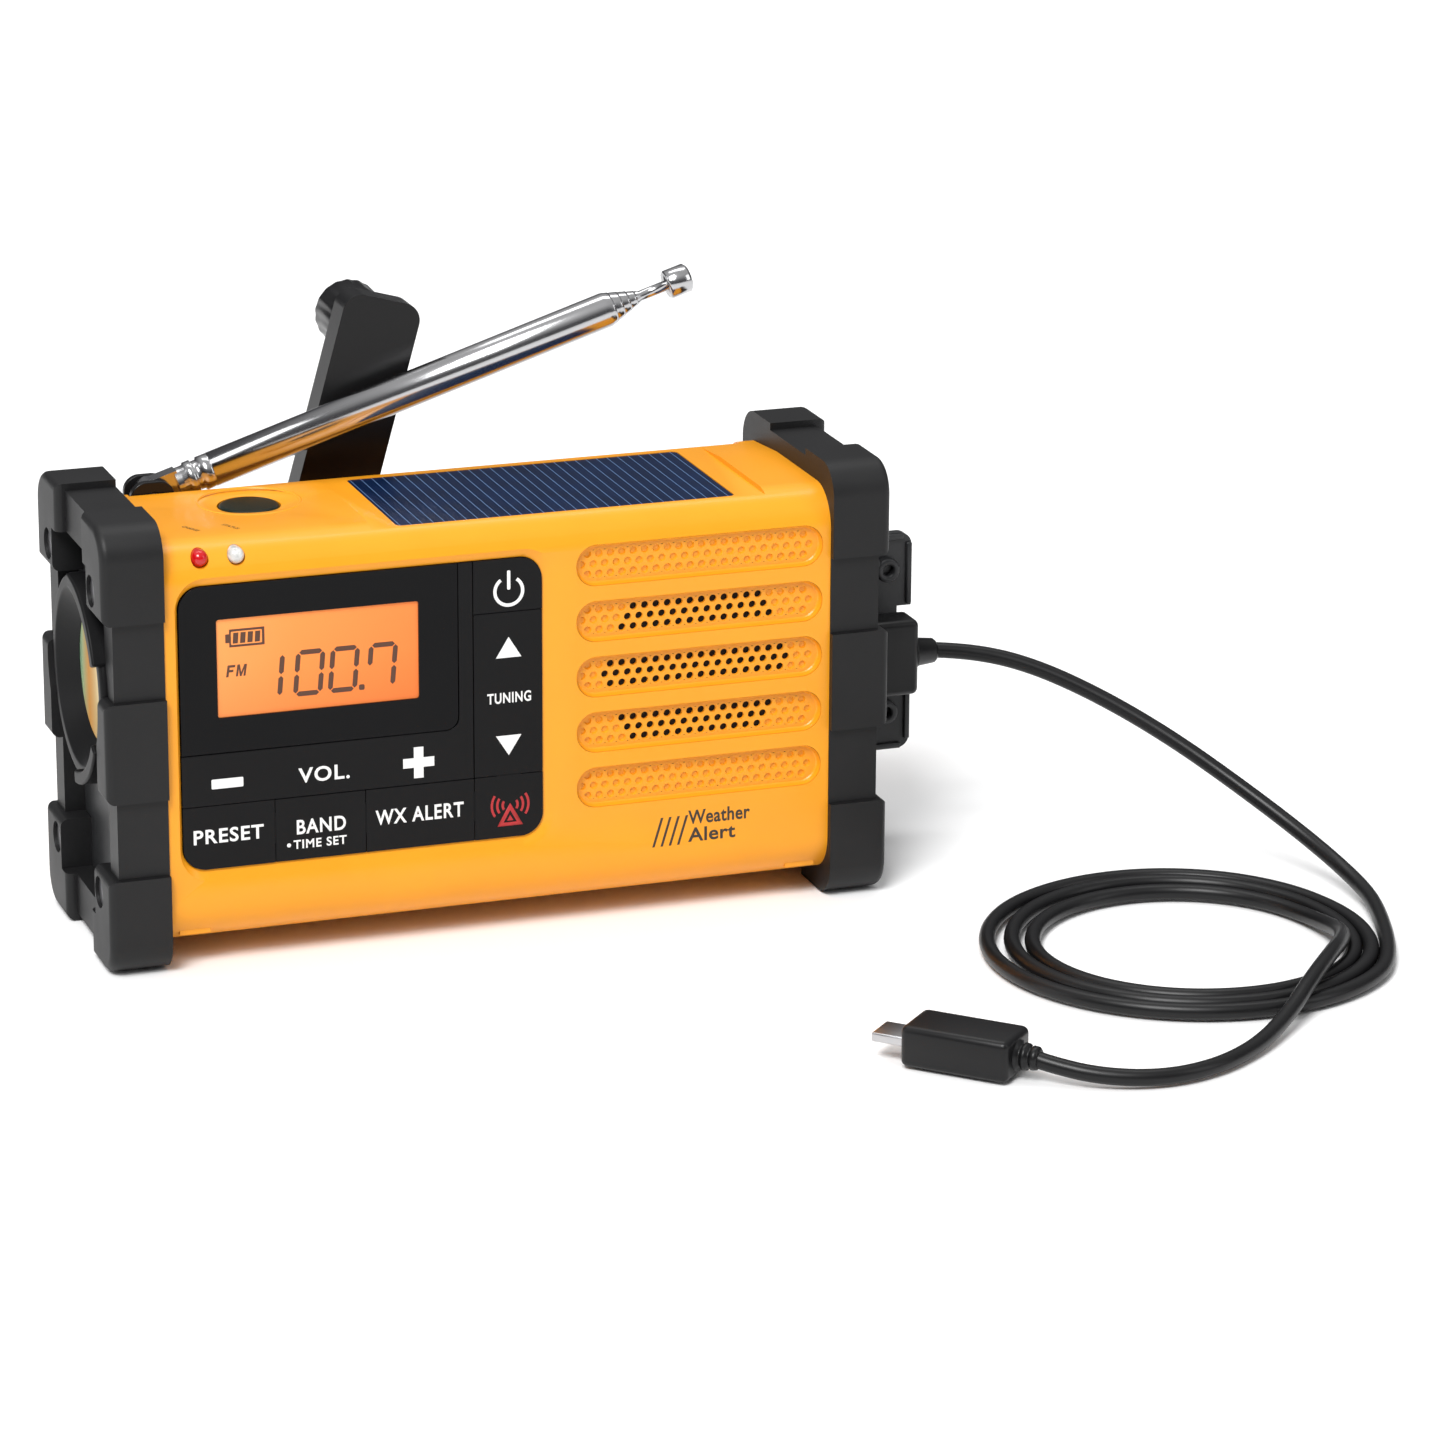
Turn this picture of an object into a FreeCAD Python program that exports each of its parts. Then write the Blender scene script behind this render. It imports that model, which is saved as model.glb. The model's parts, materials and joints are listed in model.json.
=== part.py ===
import FreeCAD, Part
import math
import os
import re

import Sketcher
from FreeCAD import Placement, Rotation, Vector

# Portable hand-crank and solar radio, in millimetres.
# +X is the viewer's right, the front faces -Y, +Z is up.
# The origin is the centre of the footprint, on the plane of the four feet.

os.makedirs("parts", exist_ok=True)
doc = FreeCAD.newDocument("PortableRadio")

SIZES = {
    # case
    "case_half": 66.5, "case_front": -24.5, "case_rear": 24.5, "case_low": 4.5, "case_top": 83.2,
    "wall": 2.4, "top_inside": 80.0, "rear_joint": 18.0, "front_round": 8.0, "rear_round": 6.0,
    "top_crease": 6.0, "top_fall": 1.0,
    # bumpers and end panels
    "bumper_out": 78.5, "strap_out": 76.4, "cap_depth": 26.0, "strap_depth": 24.9,
    "cap_top": 88.0, "strap_top": 86.6, "strap_low": 1.3, "foot_high": 19.5, "shoulder_low": 69.7,
    "belt_low": 34.8, "belt_high": 54.4, "rail_inside": 18.5, "lobe_inside": 13.8,
    "bay_low": 9.5, "bay_high": 78.5, "panel_face": 72.4, "panel_plate": 68.7,
    "end_screw_y": 17.2, "end_screw_low": 15.0, "end_screw_high": 74.5, "bumper_round": 3.0,
    # front panel
    "panel_left": -63.6, "panel_right": 8.0, "panel_low": 19.4, "panel_high": 75.4,
    "panel_round": 4.5, "bevel": 2.2, "key_face": -23.9, "key_back": -22.4, "key_gap": 0.15,
    "window_right": -8.95, "window_low": 42.4, "window_round": 2.5, "leg_right": -5.9, "row_high": 32.1,
    "tuning_high": 64.8, "preset_right": -45.5, "band_right": -27.6, "base_front": -21.6,
    "lcd_left": -56.2, "lcd_right": -16.7, "lcd_low": 49.3, "lcd_high": 68.6,
    # speaker and its grille
    "slot_left": 14.6, "slot_right": 64.9, "slot_pitch": 11.15, "slot_middle": 50.2,
    "slot_half": 4.1, "grille_face": -23.3, "grille_back": -21.9, "grille_pitch": 2.317,
    "grille_row": 2.0, "grille_hole": 0.7, "speaker_x": 39.3, "speaker_hole": 19.0,
    # top
    "shelf_left": -24.6, "shelf_right": 54.5, "shelf_level": 82.3,
    "cell_left": -19.3, "cell_right": 48.8, "cell_front": -19.0, "cell_rear": 16.0,
    "cell_floor": 80.9, "light_x": -42.0, "light_y": 4.0, "light_radius": 6.0,
    "led_level": 80.4, "led_radius": 1.65, "charge_x": -58.75, "status_x": -51.7,
    # plates that close the ends
    "plate_half": 21.7, "plate_low": 7.2, "plate_high": 80.6,
    # flashlight in the left end
    "torch_z": 52.6, "torch_radius": 20.0, "torch_mouth": 17.4, "torch_lens": 12.8,
    "torch_front": -77.6, "torch_lens_x": -73.8, "lens_thick": 1.4, "barrel_radius": 18.0,
    "barrel_back": -60.0, "reflector_back": -60.4, "reflector_long": 12.0, "lamp_back": -56.4,
    # antenna
    "mast_x": -57.0, "mast_y": 22.0, "mast_z": 81.1, "mast_lean": 17.6, "mast_radius": 3.5,
    "mast_wall": 0.5, "mast_gap": 0.05, "mast_foot": 12.9, "mast_end": 99.1, "mast_step": 1.5,
    "groove_left": -62.0, "groove_right": 63.0, "groove_floor": 77.2,
    # crank and its gear train
    "crank_x": -27.0, "crank_z": 44.0, "crank_lean": 15.7, "crank_y": 31.25, "crank_half": 8.0,
    "crank_thick": 6.5, "crank_reach": 66.0, "crank_end": 73.4, "stem_radius": 2.0,
    "stem_sunk": 1.6, "knob_radius": 6.8, "knob_length": 15.5,
    "shaft_radius": 6.0, "gear_module": 0.8, "gear_front": 12.0, "gear_width": 3.2,
    "crank_teeth": 54, "idler_teeth": 18, "pinion_teeth": 12,
    # battery door
    "door_left": 20.0, "door_right": 54.0, "door_low": 38.0, "door_high": 73.0,
    # sockets, flap and charging cable
    "usb_z": 40.8, "flap_y": 12.5, "flap_thick": 2.2, "flap_left": 79.2, "flap_right": 97.6,
    "flap_low": 17.0, "flap_high": 62.5, "hinge_x": 75.5, "cable_radius": 1.6,
    "plug_left": 72.8, "plug_right": 93.6, "relief_end": 98.4,
    "coil_x": 121.5, "coil_y": -76.8, "coil_outer": 41.0, "coil_inner": 27.5, "coil_high": 5.0,
}

sheet = doc.addObject("Spreadsheet::Sheet", "Sizes")
for row, (alias, amount) in enumerate(SIZES.items(), start=1):
    sheet.set(f"A{row}", alias)
    sheet.set(f"B{row}", str(amount))
    sheet.setAlias(f"B{row}", alias)
doc.recompute()

TURN = {
    "X": Rotation(Vector(0, 0, 1), Vector(1, 0, 0)),
    "-X": Rotation(Vector(0, 0, 1), Vector(-1, 0, 0)),
    "Y": Rotation(Vector(0, 0, 1), Vector(0, 1, 0)),
    "Z": Rotation(),
}
ROLE = {"X": "YZ_Plane", "Y": "XZ_Plane", "Z": "XY_Plane"}
nodes = {}


# ---------------------------------------------------------------- helpers

def linked(text):
    """The expression with each size's name replaced by its cell in the sheet."""
    def cell(word):
        return f"Sizes.{word.group()}" if word.group() in SIZES else word.group()
    return re.sub(r"[a-z_]+", cell, str(text))


def size(text):
    """The present value of an expression of sizes."""
    return float(sheet.evalExpression(linked(text)))


def bind(item, path, text):
    item.setExpression(path, linked(text))


def place(item, at, axis="Z"):
    """Turns the item's own Z to an axis and ties its base point to the sheet."""
    item.Placement = Placement(Vector(), TURN[axis])
    for letter, text in zip("xyz", at):
        bind(item, f"Placement.Base.{letter}", text)


def node(item, label):
    """Names a finished sub-part; the label is also its file's name."""
    item.Label = label
    nodes[label] = item
    return item


def primitive(kind, name, at, axis="Z", **sizes):
    item = doc.addObject(kind, name)
    for key, text in sizes.items():
        bind(item, key, text)
    place(item, at, axis)
    return item


def block(name, low, high):
    spans = [f"({b}) - ({a})" for a, b in zip(low, high)]
    return primitive("Part::Box", name, low, Length=spans[0], Width=spans[1], Height=spans[2])


def rod(name, at, axis, radius, length):
    return primitive("Part::Cylinder", name, at, axis, Radius=radius, Height=length)


def cone(name, at, axis, radius, end_radius, length):
    return primitive("Part::Cone", name, at, axis, Radius1=radius, Radius2=end_radius, Height=length)


def cut(name, base, *tools):
    for count, tool in enumerate(tools, start=1):
        result = doc.addObject("Part::Cut", name if count == len(tools) else f"{name}_cut_{count}")
        result.Base = base
        result.Tool = tool
        base = result
    return base


def fuse(name, *items):
    result = doc.addObject("Part::MultiFuse", name)
    result.Shapes = list(items)
    return result


def group(name, *items):
    result = doc.addObject("Part::Compound", name)
    result.Links = list(items)
    return result


def rounded(name, base, radius, chosen):
    """Fillets the edges of a Part object that a test picks out."""
    doc.recompute()
    reach = size(radius)
    picked = [i for i, edge in enumerate(base.Shape.Edges, start=1) if chosen(edge)]
    result = doc.addObject("Part::Fillet", name)
    result.Base = base
    result.Edges = [(i, reach, reach) for i in picked]
    return result


def runs_along(edge, axis):
    """True for a straight edge parallel to X, Y or Z."""
    if not isinstance(edge.Curve, Part.Line):
        return False
    return abs(edge.Curve.Direction.dot(Vector(*[letter == axis for letter in "XYZ"]))) > 0.999


def lies_at(edge, tolerance=0.05, **spots):
    """True for an edge whose middle has the coordinates given."""
    middle = edge.CenterOfMass
    return all(abs(getattr(middle, key) - size(text)) < tolerance for key, text in spots.items())


def circular(edge):
    return isinstance(edge.Curve, Part.Circle)


def new_body(name):
    return doc.addObject("PartDesign::Body", name)


def sketch_in(body, axis, level):
    """A sketch across an axis, at a level along it."""
    plane = next(f for f in body.Origin.OriginFeatures if f.Role == ROLE[axis])
    sketch = body.newObject("Sketcher::SketchObject", f"{body.Name}_sketch")
    sketch.AttachmentSupport = (plane, "")
    sketch.MapMode = "FlatFace"
    bind(sketch, "AttachmentOffset.Base.z", f"-({level})" if axis == "Y" else level)
    return sketch


def dimension(sketch, kind, geometry, end, text):
    """Ties a point's distance from the sketch's origin to the sheet."""
    index = sketch.addConstraint(Sketcher.Constraint(kind, -1, 1, geometry, end, size(text)))
    sketch.setExpression(f"Constraints[{index}]", linked(text))


def draw_polygon(sketch, corners):
    points = [Vector(size(a), size(b), 0) for a, b in corners]
    first = sketch.GeometryCount
    for start, end in zip(points, points[1:] + points[:1]):
        sketch.addGeometry(Part.LineSegment(start, end))
    count = len(points)
    for i, (across, up) in enumerate(corners):
        previous = first + (i - 1) % count
        sketch.addConstraint(Sketcher.Constraint("Coincident", previous, 2, first + i, 1))
        dimension(sketch, "DistanceX", first + i, 1, across)
        dimension(sketch, "DistanceY", first + i, 1, up)


def draw_rectangle(sketch, left, right, low, high):
    draw_polygon(sketch, [(left, low), (right, low), (right, high), (left, high)])


def draw_rounded_rectangle(sketch, left, right, low, high, radius):
    """Four lines joined by four tangent arcs of one radius."""
    x0, x1, z0, z1, r = (size(text) for text in (left, right, low, high, radius))
    first = sketch.GeometryCount
    sides = [((x0 + r, z0), (x1 - r, z0)), ((x1, z0 + r), (x1, z1 - r)),
             ((x1 - r, z1), (x0 + r, z1)), ((x0, z1 - r), (x0, z0 + r))]
    centres = [(x1 - r, z0 + r), (x1 - r, z1 - r), (x0 + r, z1 - r), (x0 + r, z0 + r)]
    for start, end in sides:
        sketch.addGeometry(Part.LineSegment(Vector(*start, 0), Vector(*end, 0)))
    for corner, centre in enumerate(centres):
        begin = (corner - 1) * math.pi / 2
        circle = Part.Circle(Vector(*centre, 0), Vector(0, 0, 1), r)
        sketch.addGeometry(Part.ArcOfCircle(circle, begin, begin + math.pi / 2))
    for corner in range(4):
        line, arc = first + corner, first + 4 + corner
        following = first + (corner + 1) % 4
        sketch.addConstraint(Sketcher.Constraint("Tangent", line, 2, arc, 1))
        sketch.addConstraint(Sketcher.Constraint("Tangent", arc, 2, following, 1))
    for line in (0, 2):
        sketch.addConstraint(Sketcher.Constraint("Horizontal", first + line))
    for arc in range(5, 8):
        sketch.addConstraint(Sketcher.Constraint("Equal", first + 4, first + arc))
    index = sketch.addConstraint(Sketcher.Constraint("Radius", first + 4, r))
    sketch.setExpression(f"Constraints[{index}]", linked(radius))
    dimension(sketch, "DistanceY", first, 1, low)
    dimension(sketch, "DistanceX", first + 1, 1, right)
    dimension(sketch, "DistanceY", first + 2, 1, high)
    dimension(sketch, "DistanceX", first + 3, 1, left)


def draw_circle(sketch, across, up, radius):
    circle = Part.Circle(Vector(size(across), size(up), 0), Vector(0, 0, 1), size(radius))
    index = sketch.addGeometry(circle)
    dimension(sketch, "DistanceX", index, 3, across)
    dimension(sketch, "DistanceY", index, 3, up)
    constraint = sketch.addConstraint(Sketcher.Constraint("Radius", index, size(radius)))
    sketch.setExpression(f"Constraints[{constraint}]", linked(radius))


def extrude(body, axis, low, high, draw, *shape):
    """Pads a drawn outline between two levels along an axis."""
    sketch = sketch_in(body, axis, high if axis == "Y" else low)
    draw(sketch, *shape)
    pad = body.newObject("PartDesign::Pad", f"{body.Name}_pad")
    pad.Profile = sketch
    bind(pad, "Length", f"({high}) - ({low})")
    doc.recompute()
    return pad


def pocket(body, axis, low, high, draw, *shape):
    """Cuts a drawn outline between two levels along an axis, and proves that it cut."""
    before = body.Shape.Volume
    sketch = sketch_in(body, axis, low if axis == "Y" else high)
    draw(sketch, *shape)
    hole = body.newObject("PartDesign::Pocket", f"{body.Name}_pocket")
    hole.Profile = sketch
    bind(hole, "Length", f"({high}) - ({low})")
    doc.recompute()
    if body.Shape.Volume > before - 0.01:
        raise RuntimeError(f"{hole.Name} cuts nothing")
    return hole


def fillet(body, radius, chosen):
    """Rounds the edges of a body that a test picks out."""
    doc.recompute()
    tip = body.Tip
    names = [f"Edge{i}" for i, edge in enumerate(tip.Shape.Edges, start=1) if chosen(edge)]
    if not names:
        raise RuntimeError(f"no edge to round on {body.Name}")
    feature = body.newObject("PartDesign::Fillet", f"{body.Name}_fillet")
    feature.Base = (tip, names)
    bind(feature, "Radius", radius)
    doc.recompute()
    return feature


def plate(label, axis, low, high, draw, *shape):
    """A sub-part that is one padded outline."""
    body = new_body(label)
    extrude(body, axis, low, high, draw, *shape)
    return node(body, label)


# ---------------------------------------------------------------- case shells

SCREW_SPOTS = [("-61.3", "11.6"), ("61.3", "11.6"), ("-27", "71.5"), ("60", "71.5")]


def front_shell():
    """Front tub: front, top and bottom walls in one moulding, open at both ends and behind."""
    body = new_body("front_shell")
    extrude(body, "X", "-case_half", "case_half", draw_polygon, [
        ("case_front", "case_low"), ("rear_joint", "case_low"), ("rear_joint", "case_top - top_fall"),
        ("top_crease", "case_top"), ("case_front", "case_top")])
    fillet(body, "front_round", lambda e: runs_along(e, "X") and lies_at(e, y="case_front"))
    pocket(body, "X", "-case_half - 1", "case_half + 1", draw_rectangle,
           "case_front + wall", "rear_joint + 1", "case_low + wall", "top_inside")
    fillet(body, "front_round - wall", lambda e: runs_along(e, "X")
           and lies_at(e, y="case_front + wall"))
    cut_panel_opening(body)
    cut_grille_slots(body)
    cut_top(body)
    add_screw_posts(body)
    return node(body, "front_shell")


def cut_panel_opening(body):
    """Opening for the black panel, with a bevelled margin all round it."""
    pocket(body, "Y", "case_front - 1", "case_front + wall + 1", draw_rounded_rectangle,
           "panel_left", "panel_right", "panel_low", "panel_high", "panel_round")
    outer = sketch_in(body, "Y", "case_front - 0.2")
    draw_rounded_rectangle(outer, "panel_left - 0.8", "panel_right + bevel + 0.4",
                           "panel_low - bevel - 0.4", "panel_high + bevel + 0.2", "panel_round + bevel")
    inner = sketch_in(body, "Y", "case_front + 1.1")
    draw_rounded_rectangle(inner, "panel_left - 0.01", "panel_right + 0.01",
                           "panel_low - 0.01", "panel_high + 0.01", "panel_round")
    loft = body.newObject("PartDesign::SubtractiveLoft", "panel_bevel")
    loft.Profile = outer
    loft.Sections = [inner]
    doc.recompute()


def slot_level(index):
    return f"slot_middle + ({index}) * slot_pitch"


def cut_grille_slots(body):
    """Five long slots in front of the speaker, and the seat of the grille plate behind them."""
    sketch = sketch_in(body, "Y", "case_front - 1")
    for index in range(-2, 3):
        level = slot_level(index)
        draw_rounded_rectangle(sketch, "slot_left", "slot_right", f"{level} - slot_half",
                               f"{level} + slot_half", "slot_half - 0.1")
    slots = body.newObject("PartDesign::Pocket", "grille_slots")
    slots.Profile = sketch
    bind(slots, "Length", "wall + 2")
    pocket(body, "Y", "grille_face", "case_front + wall + 1", draw_rectangle,
           "slot_left - 1.6", "slot_right + 1.4", "22.6", "77.6")


def cut_top(body):
    """Shelf and bay of the solar cell, the light button's dish, and the two lamp holes."""
    pocket(body, "Z", "shelf_level", "case_top + 1", draw_rectangle,
           "shelf_left", "shelf_right", "case_front - 1", "rear_joint + 1")
    pocket(body, "Z", "cell_floor", "shelf_level + 1", draw_rounded_rectangle,
           "cell_left", "cell_right", "cell_front", "cell_rear", "1.2")
    dish = body.newObject("PartDesign::SubtractiveEllipsoid", "button_dish")
    bind(dish, "Radius1", "7.5")
    bind(dish, "Radius2", "16.25")
    bind(dish, "Radius3", "14.2")
    place(dish, ("light_x", "light_y", "case_top + 6"))
    doc.recompute()
    pocket(body, "Z", "top_inside - 1", "case_top + 1", draw_circle,
           "light_x", "light_y", "light_radius + 0.15")
    sketch = sketch_in(body, "Y", "case_front - 1")
    draw_circle(sketch, "charge_x", "led_level", "led_radius + 0.05")
    draw_circle(sketch, "status_x", "led_level", "led_radius + 0.05")
    lamps = body.newObject("PartDesign::Pocket", "lamp_holes")
    lamps.Profile = sketch
    bind(lamps, "Length", "9")
    doc.recompute()


def add_screw_posts(body):
    """Posts and hanging blocks that take the four case screws."""
    for x, z in SCREW_SPOTS[:2]:
        extrude(body, "Y", "case_front + wall - 0.5", "rear_joint - 2.1", draw_rectangle,
                f"{x} - 3", f"{x} + 3", "case_low + wall - 0.5", f"{z} + 3")
    for x, z in SCREW_SPOTS[2:]:
        extrude(body, "Y", "rear_joint - 10", "rear_joint - 2.1", draw_rectangle,
                f"{x} - 3", f"{x} + 3", f"{z} - 3", "top_inside + 0.5")
    for x, z in SCREW_SPOTS:
        pocket(body, "Y", "rear_joint - 9", "rear_joint", draw_circle, x, z, "1.25")


def rear_shell():
    """Rear cover, with the antenna's groove along its top edge and the battery door's opening."""
    body = new_body("rear_shell")
    extrude(body, "Y", "rear_joint", "case_rear", draw_rectangle,
            "-case_half", "case_half", "case_low", "case_top - top_fall")
    fillet(body, "rear_round", lambda e: runs_along(e, "X") and lies_at(e, y="case_rear"))
    pocket(body, "Y", "rear_joint - 1", "case_rear - wall", draw_rectangle,
           "wall - case_half", "case_half - wall", "case_low + wall", "groove_floor - wall")
    extrude(body, "Y", "rear_joint - 1.8", "rear_joint + 0.5", draw_rectangle,
            "wall - case_half", "case_half - wall", "groove_floor - wall", "top_inside - 0.1")
    pocket(body, "Y", "rear_joint", "case_rear + 1", draw_rectangle,
           "groove_left", "groove_right", "groove_floor", "case_top + 1")
    pocket(body, "Y", "case_rear - 1.4", "case_rear + 1", draw_rectangle,
           "door_left", "door_right", "door_low", "door_high")
    pocket(body, "Y", "case_rear - wall - 1", "case_rear + 1", draw_rectangle,
           "door_left + 2", "door_right - 2", "door_low + 2", "door_high - 2")
    pocket(body, "Y", "case_rear - wall - 1", "case_rear + 1", draw_circle,
           "crank_x", "crank_z", "shaft_radius + 0.05")
    for x, z in SCREW_SPOTS:
        extrude(body, "Y", "rear_joint - 2", "case_rear - wall + 0.5", draw_circle, x, z, "3")
        pocket(body, "Y", "rear_joint - 3", "case_rear + 1", draw_circle, x, z, "1.6")
        pocket(body, "Y", "case_rear - 1.8", "case_rear + 1", draw_circle, x, z, "2.9")
    return node(body, "rear_shell")


def battery_cover():
    """Lift-off door, with a step that seats in the rear shell's opening."""
    body = new_body("battery_cover")
    extrude(body, "Y", "case_rear - 1.4", "case_rear", draw_rectangle,
            "door_left + 0.2", "door_right - 0.2", "door_low + 0.2", "door_high - 0.2")
    extrude(body, "Y", "case_rear - wall", "case_rear - 1.4", draw_rectangle,
            "door_left + 2.3", "door_right - 2.3", "door_low + 2.3", "door_high - 2.3")
    pocket(body, "Y", "case_rear - 0.6", "case_rear + 1", draw_rounded_rectangle,
           "door_left + 12", "door_right - 12", "door_high - 7", "door_high - 4", "1.4")
    return node(body, "battery_cover")


def case_screws():
    """Four pan-head screws from the rear."""
    screws = []
    for i, (x, z) in enumerate(SCREW_SPOTS):
        head = rod(f"case_screw_head_{i}", (x, "case_rear - 1.8", z), "Y", "2.6", "1.6")
        shank = rod(f"case_screw_shank_{i}", (x, "rear_joint - 8", z), "Y", "1.2", "12.8")
        screws.append(fuse(f"case_screw_{i}", head, shank))
    return node(group("case_screws", *screws), "case_screws")


# ---------------------------------------------------------------- ends

def end_sided(side, text):
    """An X level on the right end, or its mirror image on the left end."""
    return text if side > 0 else f"-({text})"


def end_span(side, low, high):
    return (low, high) if side > 0 else (f"-({high})", f"-({low})")


# Outline of the bumper's opening in Y and Z, which the end panel's raised face fills.
END_OPENING = [("-lobe_inside", "bay_low"), ("lobe_inside", "bay_low"), ("lobe_inside", "foot_high"),
               ("rail_inside", "foot_high"), ("rail_inside", "shoulder_low"),
               ("lobe_inside", "shoulder_low"), ("lobe_inside", "bay_high"),
               ("-lobe_inside", "bay_high"), ("-lobe_inside", "shoulder_low"),
               ("-rail_inside", "shoulder_low"), ("-rail_inside", "foot_high"),
               ("-lobe_inside", "foot_high")]
END_PLATE = ("-plate_half", "plate_half", "plate_low", "plate_high")


def end_panel(side, label):
    """Plate that closes one end, with a raised cross that fills the bumper's opening."""
    body = new_body(label)
    extrude(body, "X", *end_span(side, "case_half", "panel_plate"), draw_rectangle,
            *END_PLATE)
    extrude(body, "X", *end_span(side, "panel_plate", "panel_face"), draw_polygon, END_OPENING)
    return body


def left_end_panel():
    body = end_panel(-1, "left_end_panel")
    pocket(body, "X", "-panel_face - 1", "-case_half + 1", draw_circle, "0", "torch_z",
           "barrel_radius + 0.05")
    return node(body, "left_end_panel")


# Lower end, upper end and half width of the openings over the rectangular sockets.
SOCKET_HOLES = [("usb_z - 8.1", "usb_z + 8.1", "4.2"), ("21", "29.5", "2.6")]


def right_end_panel():
    """Right end, pierced for the two rectangular sockets and the round one."""
    body = end_panel(1, "right_end_panel")
    for low, high, half in SOCKET_HOLES:
        pocket(body, "X", "case_half - 1", "panel_face + 1", draw_rectangle,
               f"-{half}", half, low, high)
    pocket(body, "X", "case_half - 1", "panel_face + 1", draw_circle, "0", "56.5", "3.2")
    return node(body, "right_end_panel")


def bumper(side, label):
    """Rubber end frame: a ring of straps with thicker caps at its corners and waist."""
    body = new_body(label)
    extrude(body, "X", *end_span(side, "case_half", "strap_out"), draw_rounded_rectangle,
            "-strap_depth", "strap_depth", "strap_low", "strap_top", "7")
    caps = [("0", "foot_high", "10"), ("shoulder_low", "cap_top", "10"),
            ("belt_low", "belt_high", "rail_inside")]
    for low, high, inside in caps:
        for face in (-1, 1):
            across = [inside, "cap_depth"] if face > 0 else ["-cap_depth", f"-{inside}"]
            extrude(body, "X", *end_span(side, "case_half", "bumper_out"), draw_rectangle,
                    *across, low, high)
    fillet(body, "6.5", lambda e: runs_along(e, "X")
           and any(lies_at(e, y=y, z=z) for y in ("cap_depth", "-cap_depth") for z in ("0", "cap_top")))
    pocket(body, "X", *end_span(side, "case_half - 1", "panel_plate"), draw_rectangle, *END_PLATE)
    pocket(body, "X", *end_span(side, "panel_plate - 1", "bumper_out + 1"), draw_polygon,
           END_OPENING)
    if side < 0:
        pocket(body, "X", "-bumper_out - 1", "-panel_face", draw_circle, "0", "torch_z",
               "torch_radius + 0.2")
    for y in ("-end_screw_y", "end_screw_y"):
        for z in ("end_screw_low", "end_screw_high"):
            pocket(body, "X", *end_span(side, "bumper_out - 2", "bumper_out + 1"), draw_circle,
                   y, z, "3.1")
            pocket(body, "X", *end_span(side, "case_half - 1", "bumper_out"), draw_circle,
                   y, z, "1.55")
    out = size(end_sided(side, "bumper_out"))
    fillet(body, "1.6", lambda e: abs(e.CenterOfMass.x - out) < 0.01 and not circular(e)
           and e.BoundBox.XLength < 0.01 and on_rim(e))
    return node(body, label)


def on_rim(edge):
    """True for an edge on the outer rim of a bumper, not on its opening."""
    box = edge.BoundBox
    deep, high = size("cap_depth") - 0.01, size("cap_top") - 0.01
    return max(abs(box.YMin), abs(box.YMax)) > deep or box.ZMax > high or box.ZMin < 0.01


def bumper_screws():
    """Eight cross-head screws, four in each end."""
    screws = []
    for side in (-1, 1):
        for y in ("-end_screw_y", "end_screw_y"):
            for z in ("end_screw_low", "end_screw_high"):
                name = f"bumper_screw_{len(screws)}"
                axis = "X" if side > 0 else "-X"
                head_at = end_sided(side, "bumper_out - 2")
                head = rod(f"{name}_head", (head_at, y, z), axis, "2.9", "1.3")
                shank = rod(f"{name}_shank", (end_sided(side, "panel_plate + 0.2"), y, z), axis,
                            "1.5", "bumper_out - panel_plate - 2")
                cross_low = (f"{head_at} + {0.7 * side - 0.7}", f"{y} - 1.6", f"{z} - 0.3")
                cross_high = (f"{head_at} + {0.7 * side + 0.7}", f"{y} + 1.6", f"{z} + 0.3")
                first = block(f"{name}_slot", cross_low, cross_high)
                second = block(f"{name}_slot_across", (cross_low[0], f"{y} - 0.3", f"{z} - 1.6"),
                               (cross_high[0], f"{y} + 0.3", f"{z} + 1.6"))
                lift = 1.3 * side
                for slot in (first, second):
                    bind(slot, "Placement.Base.x", f"{cross_low[0]} + {lift}")
                screws.append(cut(name, fuse(f"{name}_blank", head, shank), first, second))
    return node(group("bumper_screws", *screws), "bumper_screws")


# ---------------------------------------------------------------- display and keys

def display():
    """Window, backlit display and the base behind the keys."""
    window = plate("display_window", "Y", "key_face", "base_front", draw_rectangle,
                   "panel_left + 0.1", "window_right", "window_low", "panel_high - 0.1")
    fillet(window, "panel_round", lambda e: runs_along(e, "Y")
           and lies_at(e, x="panel_left + 0.1", z="panel_high - 0.1"))
    fillet(window, "window_round", lambda e: runs_along(e, "Y")
           and lies_at(e, x="window_right", z="window_low"))
    base = new_body("keypad_base")
    extrude(base, "Y", "base_front", "base_front + 1.4", draw_rectangle,
            "panel_left - 0.9", "panel_right + 0.9", "panel_low - 1", "panel_high + 1")
    pocket(base, "Y", "base_front - 1", "base_front + 2", draw_rectangle,
           "lcd_left - 1", "lcd_right + 1", "lcd_low - 1", "lcd_high + 1")
    node(base, "keypad_base")
    plate("lcd_module", "Y", "base_front + 0.05", "base_front + 3.6", draw_rectangle,
          "lcd_left - 0.8", "lcd_right + 0.8", "lcd_low - 0.8", "lcd_high + 0.8")


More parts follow.
